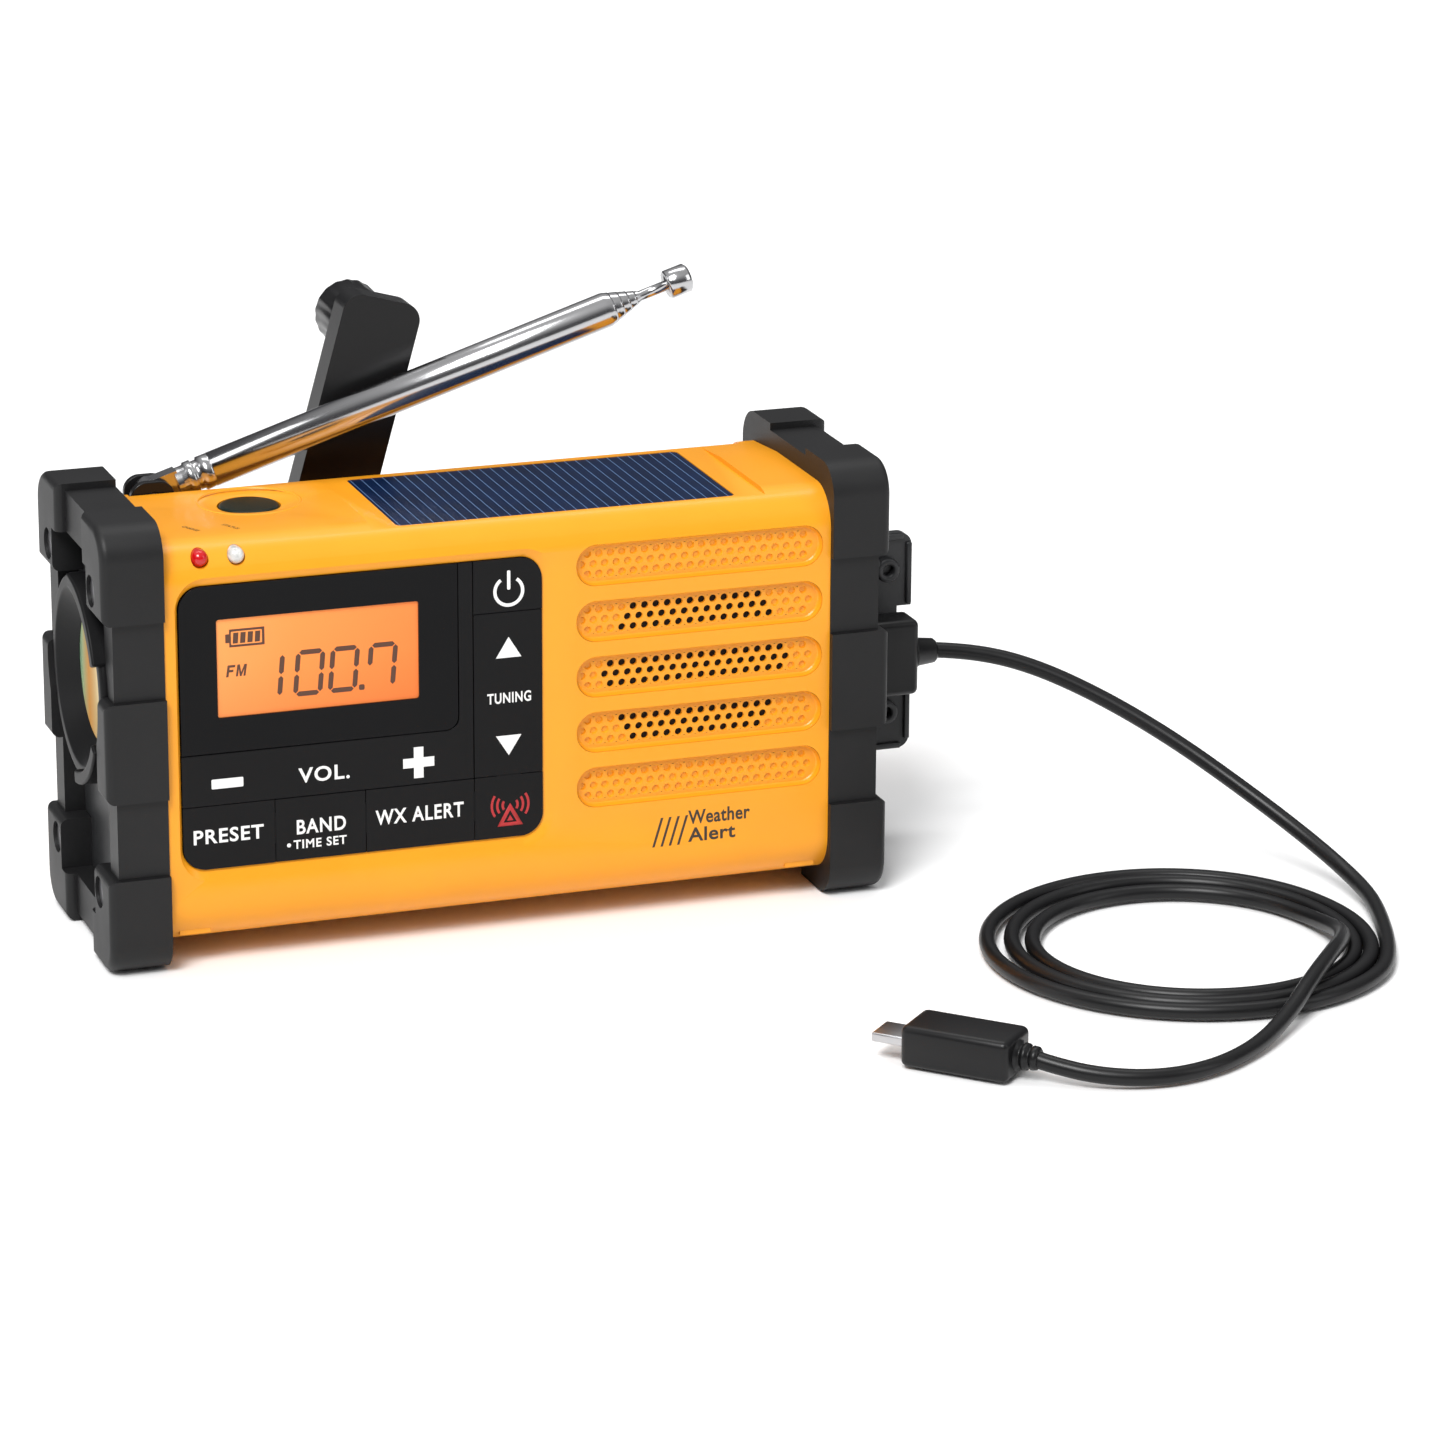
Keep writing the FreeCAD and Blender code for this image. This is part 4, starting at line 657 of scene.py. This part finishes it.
SLOT_LEFT, SLOT_RIGHT, SLOT_PITCH, SLOT_MIDDLE, SLOT_HALF = 14.6, 64.9, 11.15, 50.2, 4.1
DOT_PITCH, DOT_ROW, DOT_HOLE, DOT_SIDES = 2.317, 2.0, 0.76, 12
DOT_COUNTS = {-1: 20, 0: 21, 1: 20}  # dots in each of a slot's three rows
FIRST_DOT = SLOT_LEFT + 1.54
SPEAKER_X, OPEN_REACH = 39.3, 19.0  # dots nearer than this to the speaker's axis are open
DISH_FLOOR = -23.15
# Share of the hole's radius and depth below the floor, for open holes and closed dimples.
HOLE_LEVELS, DIMPLE_LEVELS = [(0.97, 0.08), (0.93, 0.55)], [(0.7, 0.42)]


def dot_ring(shape, x, z, share, depth):
    """One ring of a hole's or a dimple's wall."""
    ring = []
    for step in range(DOT_SIDES):
        angle = -math.pi / 2 + 2 * math.pi * step / DOT_SIDES
        ring.append(shape.verts.new(mm(x + DOT_HOLE * share * math.cos(angle), DISH_FLOOR + depth,
                                       z + DOT_HOLE * share * math.sin(angle))))
    return ring


def grille_dish(shape, middle):
    """One slot's floor of staggered holes and dimples, each in the middle of a six-sided cell."""
    half, side_tall = DOT_PITCH / 2, DOT_PITCH / math.sqrt(3)
    spots = [(FIRST_DOT + DOT_PITCH * (step + 0.5 * abs(line)), middle + line * DOT_ROW)
             for line, dots in DOT_COUNTS.items() for step in range(dots)]
    corner_cache = {}

    def corner(x, z):
        key = (round(x, 2), round(z, 2))
        if key not in corner_cache:
            corner_cache[key] = shape.verts.new(mm(x, DISH_FLOOR, z))
        return corner_cache[key]

    row_tall = DOT_ROW - side_tall / 2
    for x, z in spots:
        cell = [(x, z - row_tall), (x + half, z - side_tall / 2), (x + half, z + side_tall / 2),
                (x, z + row_tall), (x - half, z + side_tall / 2), (x - half, z - side_tall / 2)]
        outer = [corner(*spot) for spot in cell]
        rim = dot_ring(shape, x, z, 1, 0)
        for side in range(6):
            first, second = outer[side], outer[(side + 1) % 6]
            a, b, c = rim[2 * side], rim[2 * side + 1], rim[(2 * side + 2) % DOT_SIDES]
            shape.faces.new((first, second, b))
            shape.faces.new((first, b, a))
            shape.faces.new((second, c, b))
        is_open = math.hypot(x - SPEAKER_X, z - SLOT_MIDDLE) < OPEN_REACH
        for share, depth in HOLE_LEVELS if is_open else DIMPLE_LEVELS:
            inner = dot_ring(shape, x, z, share, depth)
            # Walls of holes and dimples take the second material, the darker yellow of painted
            # shade.
            for wall in bridge(shape, rim, inner):
                wall.material_index = 1
            rim = inner
        if not is_open:
            shape.faces.new(rim)
    close_row_ends(shape, middle, half, side_tall)


def close_row_ends(shape, middle, half, side_tall):
    """The plain patch between the last cells of the three rows and the slot's right end."""
    row_tall = DOT_ROW - side_tall / 2
    last = FIRST_DOT + (DOT_COUNTS[0] - 1) * DOT_PITCH
    step_back = last - half
    zigzag = [(step_back - half, -DOT_ROW - row_tall), (step_back, -DOT_ROW - side_tall / 2),
              (step_back, -row_tall), (last, -side_tall / 2), (last, side_tall / 2),
              (step_back, row_tall), (step_back, DOT_ROW + side_tall / 2),
              (step_back - half, DOT_ROW + row_tall)]
    level = DISH_FLOOR + 0.01
    edge = [shape.verts.new(mm(x + half, level, middle + z)) for x, z in zigzag]
    rim = [shape.verts.new(mm(x, level, z))
           for x, z in arc_points((SLOT_RIGHT - SLOT_HALF, middle), 3.52, 74, -74, 12)]
    shape.faces.new(edge + rim)


def slot_ring(shape, middle, inset, y, count=20):
    """The outline of a slot with round ends, drawn in by an inset."""
    half = SLOT_HALF - inset
    left, right = SLOT_LEFT + SLOT_HALF, SLOT_RIGHT - SLOT_HALF
    outline = (arc_points((right, middle), half, -90, 90, count)
               + arc_points((left, middle), half, 90, 270, count))
    return [shape.verts.new(mm(x, y, z)) for x, z in outline]


def make_grille():
    """Perforated plate behind the five slots, in place of the plain CAD plate."""
    shape = bmesh.new()
    for slot in range(-2, 3):
        middle = SLOT_MIDDLE + slot * SLOT_PITCH
        grille_dish(shape, middle)
        border = slot_ring(shape, middle, 0.62, -23.12)
        wall = slot_ring(shape, middle, 0.35, -23.35)
        lip = slot_ring(shape, middle, 0.04, -24.3)
        skirt = slot_ring(shape, middle, 1.3, -23.12)
        bridge(shape, border, wall)
        bridge(shape, wall, lip)
        bridge(shape, skirt, border)
    mesh = bpy.data.meshes.new("grille_plate")
    shape.to_mesh(mesh)
    shape.free()
    piece = link_piece("grille_plate", mesh, "yellow", "case")
    # Second material: the darker yellow that paints shade on the hole and dimple walls.
    mesh.materials.append(MATERIALS["recess"])
    for face in mesh.polygons:
        face.use_smooth = False
    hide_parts("speaker_grille")
    low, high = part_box("speaker_grille")
    rounded_block("speaker_cloth", (low.x / MM, -22.4, low.z / MM),
                  (high.x / MM, -22.1, high.z / MM), 0.1, "dark_gap", "case", segments=1)


# ---------------------------------------------------------------- display and legends

SEGMENTS = {"0": "abcdef", "1": "bc", "7": "abcf"}
DIGITS = [("1", -49.4), ("0", -41.5), ("0", -34.7), ("7", -27.2)]
DIGIT_WIDTH, DIGIT_HEIGHT, DIGIT_THICK, DIGIT_LEAN, DIGIT_FOOT = 5.75, 9.1, 0.95, 0.09, 51.95

# Letters as outlines one unit tall.
LETTER_F = [(0, 0), (0.26, 0), (0.26, 0.4), (0.72, 0.4), (0.72, 0.6), (0.26, 0.6), (0.26, 0.8),
            (0.85, 0.8), (0.85, 1), (0, 1)]
LETTER_M = [(0, 0), (0.22, 0), (0.22, 0.62), (0.44, 0), (0.62, 0), (0.84, 0.62), (0.84, 0),
            (1.06, 0), (1.06, 1), (0.78, 1), (0.53, 0.32), (0.28, 1), (0, 1)]
LETTER_WIDTH, LETTER_HEIGHT, LETTER_LEAN, LETTER_FOOT = 1.75, 2.3, 0.35, 57.1
BAND_SIGN = [("band_sign_f", LETTER_F, -54.4), ("band_sign_m", LETTER_M, -52.5)]
# Left, right, bottom and top of the lit opening.
OPENING = (-56.2, -16.7, 49.3, 68.6)


def segment_outlines(width, height, thick):
    """The seven bars of a digit, each a long hexagon, by their usual letters."""
    gap, half = 0.16, thick / 2

    def across(z):
        return [(half + gap, z), (thick + gap, z + half), (width - thick - gap, z + half),
                (width - half - gap, z), (width - thick - gap, z - half), (thick + gap, z - half)]

    def upright(x, low, high):
        return [(x, low + gap), (x + half, low + half + gap), (x + half, high - half - gap),
                (x, high - gap), (x - half, high - half - gap), (x - half, low + half + gap)]

    middle = height / 2
    return {"a": across(height - half), "g": across(middle), "d": across(half),
            "b": upright(width - half, middle, height - half),
            "c": upright(width - half, half, middle),
            "e": upright(half, half, middle), "f": upright(half, middle, height - half)}


def make_display():
    """The black window with its bevelled opening, and the lit display behind it."""
    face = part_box("display_window")[0].y / MM
    left, right, bottom, top = OPENING
    window = bmesh.new()
    outer = (arc_points((-9.0 - 2.5, 42.4 + 2.5), 2.5, -90, 0, 8)
             + arc_points((-9.1, 75.2), 0.15, 0, 90, 2)
             + arc_points((-63.45 + 4.4, 75.3 - 4.4), 4.4, 90, 180, 12)
             + arc_points((-63.3, 42.6), 0.15, 180, 270, 2))
    inner = rounded_outline(left, right, bottom, top, 0.5, 3)
    fill_plate(window, outer, inner, face, face + 0.5)
    frame_piece = from_bmesh("window_frame", window, "gloss", "case")
    round_edges(frame_piece, 0.12, 2)
    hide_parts("display_window")
    glass_y = face + 0.42
    overlap = 0.6
    sheet = rounded_outline(left - overlap, right + overlap, bottom - overlap, top + overlap,
                            0.5, 3)
    lit = slab("lit_display", sheet, glass_y, glass_y + 1.2, "display", "case")
    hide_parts("lcd_module")
    draw_reading(glass_y - 0.04, glass_y)


def draw_reading(ink, glass_y):
    """Digits, band and battery sign on the display. ink is the level of their fronts."""
    def mark(name, outline, front=ink, rear=glass_y + 0.02, material="segment"):
        slab(name, outline, front, rear, material, "case")

    bars = segment_outlines(DIGIT_WIDTH, DIGIT_HEIGHT, DIGIT_THICK)
    for index, (digit, x) in enumerate(DIGITS):
        for letter in SEGMENTS[digit]:
            mark(f"digit_{index}_{letter}",
                 [(x + a + DIGIT_LEAN * b, DIGIT_FOOT + b) for a, b in bars[letter]])
    mark("decimal_point", rounded_outline(-28.5, -27.4, 52.0, 53.1, 0.3, 3))
    for name, outline, x in BAND_SIGN:
        mark(name, [(x + LETTER_WIDTH * a + LETTER_LEAN * b, LETTER_FOOT + LETTER_HEIGHT * b)
                    for a, b in outline])
    mark("battery_sign_case", battery_outline(-54.4, -46.8, 62.9, 66.4))
    mark("battery_sign_window", rounded_outline(-53.3, -47.3, 63.35, 65.95, 0.2, 2), ink - 0.03,
         glass_y + 0.01, "display")
    for bar in range(4):
        start = -53.0 + bar * 1.42
        mark(f"battery_sign_bar_{bar}", [(start, 63.6), (start + 1.0, 63.6), (start + 1.15, 65.7),
                                         (start + 0.15, 65.7)], ink - 0.06, glass_y)


def battery_outline(left, right, low, high):
    """A battery lying on its side, with its nub to the left."""
    nub, step = 0.75, 0.9
    return [(left + nub, low), (right, low), (right, high), (left + nub, high),
            (left + nub, high - step), (left, high - step), (left, low + step),
            (left + nub, low + step)]


def fill_plate(shape, outer, inner, low_y, high_y):
    """A plate between an outer and an inner outline, thick along Y."""
    loops = []
    for outline in (outer, inner):
        front = [shape.verts.new(mm(x, low_y, z)) for x, z in outline]
        rear = [shape.verts.new(mm(x, high_y, z)) for x, z in outline]
        bridge(shape, rear, front)
        loops.append((front, rear))
    shape.edges.ensure_lookup_table()
    for side in (0, 1):
        rim = {v for loop in loops for v in loop[side]}
        edges = [e for e in shape.edges if e.verts[0] in rim and e.verts[1] in rim]
        bmesh.ops.triangle_fill(shape, edges=edges, use_beauty=True)


# Name, words, left, right, bottom and top in millimetres, and the key and body they ride on.
LEGENDS = [
    ("tuning_word", "TUNING", -3.2, 5.6, 46.6, 48.75, "tuning_key", "tuning_rocker"),
    ("volume_word", "VOL.", -40.8, -30.7, 34.8, 37.8, "volume_key", "volume_rocker"),
    ("preset_word", "PRESET", -61.5, -47.8, 24.6, 27.5, "preset_key", "preset_button"),
    ("band_word", "BAND", -41.3, -31.6, 24.6, 27.5, "band_key", "band_button"),
    ("time_word", "TIME SET", -42.0, -31.5, 21.7, 23.5, "band_key", "band_button"),
    ("alert_word", "WX ALERT", -25.7, -8.1, 24.7, 27.7, "weather_key", "weather_button"),
]


def make_legends():
    for name, words, left, right, low, high, key, body in LEGENDS:
        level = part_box(key)[0].y / MM
        lettering(name, words, left, right, low, high, level - 0.005, "legend", body)
    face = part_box("volume_key")[0].y / MM
    front, rear = face - 0.04, face + 0.03
    slab("minus_sign", rounded_outline(-57.8, -51.6, 35.4, 37.3, 0.2, 2), front, rear, "legend",
         "volume_rocker")
    x, z, long, thick = -17.0, 36.5, 3.1, 0.95
    plus = [(x - thick, z - long), (x + thick, z - long), (x + thick, z - thick),
            (x + long, z - thick), (x + long, z + thick), (x + thick, z + thick),
            (x + thick, z + long), (x - thick, z + long), (x - thick, z + thick),
            (x - long, z + thick), (x - long, z - thick), (x - thick, z - thick)]
    slab("plus_sign", plus, front, rear, "legend", "volume_rocker")
    slab("up_arrow", [(-1.4, 55.7), (3.7, 55.7), (1.15, 59.8)], front, rear, "legend",
         "tuning_rocker")
    slab("down_arrow", [(-1.5, 40.1), (1.05, 36.1), (3.6, 40.1)], front, rear, "legend",
         "tuning_rocker")
    slab("time_dot", rounded_outline(-43.3, -42.5, 22.2, 23.0, 0.38, 4), front, rear, "legend",
         "band_button")
    power_sign(front, rear)
    alert_sign(front, rear)
    dividers(face)


def power_sign(front, rear):
    centre = (1.25, 68.9)
    slab("power_ring", band_outline(centre, 2.45, 3.1, 125, 415, 40), front, rear, "legend",
         "power_button")
    slab("power_bar", rounded_outline(0.93, 1.57, 69.2, 73.0, 0.2, 2), front, rear, "legend",
         "power_button")


def alert_sign(front, rear):
    """A warning triangle between waves to its left and right."""
    x, z = 1.25, 24.0
    shape = bmesh.new()
    outer = [(x - 2.6, z - 2.2), (x + 2.6, z - 2.2), (x, z + 2.4)]
    inner = [(x - 1.35, z - 1.5), (x + 1.35, z - 1.5), (x, z + 0.95)]
    fill_plate(shape, outer, inner, front, rear)
    from_bmesh("alert_triangle", shape, "red_print", "alert_button")
    slab("alert_core", [(x - 0.62, z - 1.15), (x + 0.62, z - 1.15), (x, z - 0.05)], front, rear,
         "red_print", "alert_button")
    for side in (0, 180):
        for index, radius in enumerate((1.5, 2.6, 3.7)):
            slab(f"alert_wave_{side}_{index}",
                 band_outline((x, 26.0), radius - 0.24, radius + 0.24, side - 34, side + 34, 10),
                 front, rear, "red_print", "alert_button")


def dividers(face):
    """Short moulded lines between the keys."""
    for index, x in enumerate((-45.5, -27.6, -5.9)):
        slab(f"key_divider_{index}", rounded_outline(x - 0.18, x + 0.18, 23.4, 29.4, 0.15, 3),
             face - 0.03, face + 0.06, "gloss", "case")
    slab("key_dash", rounded_outline(-1.5, 3.5, 32.0, 32.3, 0.13, 3), face - 0.03, face + 0.06,
         "gloss", "case")


# ---------------------------------------------------------------- antenna and crank

MAST_PIVOT = mm(-57, 22, 81.1)
MAST_AXIS = Vector(next(j["axis"] for j in frame["joints"] if j["name"] == "antenna_extend_two"))


ROLLED_END = 0.28
# Name, start, end, outer and inner radius, body, and the CAD piece that the tube stands for.
TUBES = [
    ("mast_tube", 12.9, 99.1, 3.5, 3.02, "mast", "antenna_tube"),
    ("mast_second", 17.9, 100.9, 2.95, 2.46, "mast_two", "antenna_section_two"),
    ("mast_third", 18.9, 102.6, 2.4, 1.92, "mast_three", "antenna_section_three"),
    ("mast_fourth", 19.9, 104.2, 1.85, 1.36, "mast_four", "antenna_section_four"),
]
TIP_PROFILE = [(20.9, 0), (20.9, 1.3), (104.6, 1.3), (105.0, 1.05), (110.9, 1.05), (110.95, 2.6),
               (111.3, 2.9), (115.3, 2.9), (115.8, 2.4), (115.8, 0)]
COLLAR_PROFILE = [(6.4, 0), (6.4, 2.6), (6.8, 3.0), (7.8, 3.0), (8.0, 3.4), (9.3, 3.4),
                  (9.5, 3.0), (10.6, 3.0), (10.8, 3.45), (12.7, 3.45), (12.95, 3.2), (12.95, 0)]


def make_antenna():
    """Bright turned sections, each with a rolled end that the next one slides out of."""
    for name, start, end, radius, inner, body, node in TUBES:
        profile = [(start, inner), (start, radius), (end - 1.6, radius),
                   (end - 1.1, radius - ROLLED_END * 0.2), (end - 0.4, radius - ROLLED_END),
                   (end, inner + 0.12), (end, inner), (start, inner)]
        piece = lathe(name, MAST_PIVOT, MAST_AXIS, profile, "chrome", body)
        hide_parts(node)
    tip = lathe("mast_tip_rod", MAST_PIVOT, MAST_AXIS, TIP_PROFILE, "chrome", "mast_tip")
    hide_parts("antenna_tip")
    carry_over("antenna_knuckle", "chrome", 0.2)
    lathe("mast_collar", MAST_PIVOT, MAST_AXIS, COLLAR_PROFILE, "chrome", "mast")


# Distance along the knob and radius there.
KNOB_PROFILE = [(0, 4.4), (0, 5.4), (0.5, 6.3), (1.5, 6.72), (8, 6.5), (14, 6.72), (15.0, 6.3),
                (15.5, 5.4), (15.5, 0.01)]
KNOB_SIDES, KNOB_FLUTES, FLUTE_DEPTH, FLUTED_FROM, FLUTED_TO = 144, 18, 0.16, 1.4, 14.5


def make_knob():
    """Grip with shallow flutes round it."""
    low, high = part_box("crank_knob")
    centre = (low + high) / 2
    shape = bmesh.new()
    rings = []
    for along, radius in KNOB_PROFILE:
        ring = []
        flute = FLUTE_DEPTH if FLUTED_FROM < along < FLUTED_TO else 0
        for step in range(KNOB_SIDES):
            angle = 2 * math.pi * step / KNOB_SIDES
            reach = (radius - flute * (0.5 + 0.5 * math.cos(KNOB_FLUTES * angle))) * MM
            ring.append(shape.verts.new((centre.x + reach * math.cos(angle), low.y + along * MM,
                                         centre.z + reach * math.sin(angle))))
        rings.append(ring)
    for first, second in zip(rings, rings[1:]):
        bridge(shape, first, second)
    shape.faces.new(rings[-1])
    piece = from_bmesh("knob_grip", shape, "black", "knob")
    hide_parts("crank_knob")


# ---------------------------------------------------------------- plugs and cable

# The same route as the cable's own solids, in millimetres, with the coil between.
LEAD_DROP = [(98.4, 0, 40.8), (106, -1.6, 40.3), (117, -6, 37.6), (129, -13, 32), (141, -21.8, 24.6),
             (152, -32.4, 16.2), (161, -44.5, 8.6), (165.6, -57, 3.6), (164.6, -70, 2.2)]
LEAD_TAIL = [(150, -84, 3.6), (145.8, -93.5, 5.6), (138.5, -103.5, 7), (130, -113, 6.2),
             (121, -122, 3), (110.6, -131.6, 1.7), (99, -138.8, 1.7), (87.4, -140.9, 1.7),
             (76.4, -137.4, 2.2), (68.4, -131.4, 3.6), (66.7, -129.7, 4.2)]
CABLE_DIAMETER = 3.2

# Radius of the coil at each quarter of its three turns, from the right side clockwise.
COIL_RADII = [39.2, 38.0, 39.8, 40.4, 35.5, 33.8, 34.8, 36.7, 32.2, 29.9, 30.9, 30.7, 28.8]
COIL_START, COIL_STEPS, COIL_LEVEL = math.radians(-10), 4, 1.7

OUTLET_LEVEL = 40.8
OUTLET_RELIEF = [(93.2, 0), (93.2, 3.4), (94.0, 3.3), (94.3, 2.9), (97.9, 2.5), (98.4, 2.1),
                 (98.4, 0)]
FAR_PLUG_PLACE, FAR_PLUG_HEADING, FAR_PLUG_LEVEL = mm(67.4, -130.4, 0), math.radians(134.6), 4.2
FAR_RELIEF = [(-0.4, 0), (-0.4, 1.8), (0, 2.2), (0.9, 2.3), (1.1, 1.9), (1.6, 1.9), (1.8, 2.5),
              (2.6, 2.6), (2.8, 2.1), (3.3, 2.1), (3.5, 2.9), (4.4, 3.1)]


def coil_points():
    """Three loose turns that wind inwards, clockwise seen from above."""
    low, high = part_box("cable_coil")
    centre = (low + high) / 2 / MM
    points = []
    for quarter, (begin, end) in enumerate(zip(COIL_RADII, COIL_RADII[1:])):
        for step in range(COIL_STEPS):
            if quarter == step == 0:
                continue
            share = step / COIL_STEPS
            radius = begin + (end - begin) * (3 - 2 * share) * share * share
            angle = COIL_START - (quarter + share) * math.pi / 2
            points.append((centre.x + radius * math.cos(angle), centre.y + radius * math.sin(angle),
                           COIL_LEVEL))
    return points


def make_cable(plugs):
    """The one lead, from the outlet plug through the coil to the far plug."""
    route = LEAD_DROP + coil_points() + LEAD_TAIL
    curve = bpy.data.curves.new("charging_lead", "CURVE")
    curve.dimensions = "3D"
    spline = curve.splines.new("NURBS")
    spline.points.add(len(route) - 1)
    for point, spot in zip(spline.points, route):
        point.co = (*mm(*spot), 1)
    spline.order_u = 3
    spline.use_endpoint_u = True
    spline.resolution_u = 8
    curve.bevel_depth = CABLE_DIAMETER / 2 * MM
    curve.bevel_resolution = 5
    curve.use_fill_caps = True
    curve.materials.append(MATERIALS["cable"])
    lead = bpy.data.objects.new("charging_lead", curve)
    bpy.context.scene.collection.objects.link(lead)
    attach(lead, "case")
    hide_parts("charging_cable", "cable_tail", "cable_coil")


def make_outlet_plug():
    """Moulded plug in the outlet: a grip with round edges, a strain relief and a metal shell."""
    z = OUTLET_LEVEL
    grip = rounded_block("plug_grip", (72.9, -4, z - 7.8), (93.6, 4, z + 7.8), 1.3, "cable", "case")
    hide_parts("usb_plug")
    sleeve = lathe("plug_relief", mm(0, 0, z), (1, 0, 0), OUTLET_RELIEF, "cable", "case",
                   48)
    shell = rounded_block("plug_shell", (62, -2.2, z - 5.9), (73.2, 2.2, z + 5.9), 0.3, "steel",
                          "case")
    return [grip, sleeve, shell]


def make_far_plug():
    """Small plug on the floor, with a plain grip, a ribbed relief and a metal tip."""
    place = Matrix.Translation(FAR_PLUG_PLACE) @ Matrix.Rotation(FAR_PLUG_HEADING, 4, "Z")
    grip = rounded_block("far_grip", (3.8, -5.6, 0.2), (25, 5.6, 8.2), 1.3, "cable", "case")
    neck = lathe("far_relief", mm(0, 0, FAR_PLUG_LEVEL), (1, 0, 0), FAR_RELIEF, "cable", "case",
                 48)
    tip = rounded_block("far_tip", (24.6, -3.45, 3.3), (31.6, 3.45, 5.1), 0.35, "steel", "case")
    for piece in (grip, neck, tip):
        piece.matrix_world = place @ piece.matrix_world
    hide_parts("charge_plug")
    return [grip, neck, tip]


# ---------------------------------------------------------------- build

MATERIALS = make_materials()
make_camera()
make_light()
make_floor()
dress_case()
make_grille()
make_display()
make_legends()
add_case_prints()
make_antenna()
make_knob()
make_cable(make_outlet_plug() + make_far_plug())

bpy.context.scene.view_settings.view_transform = "Standard"
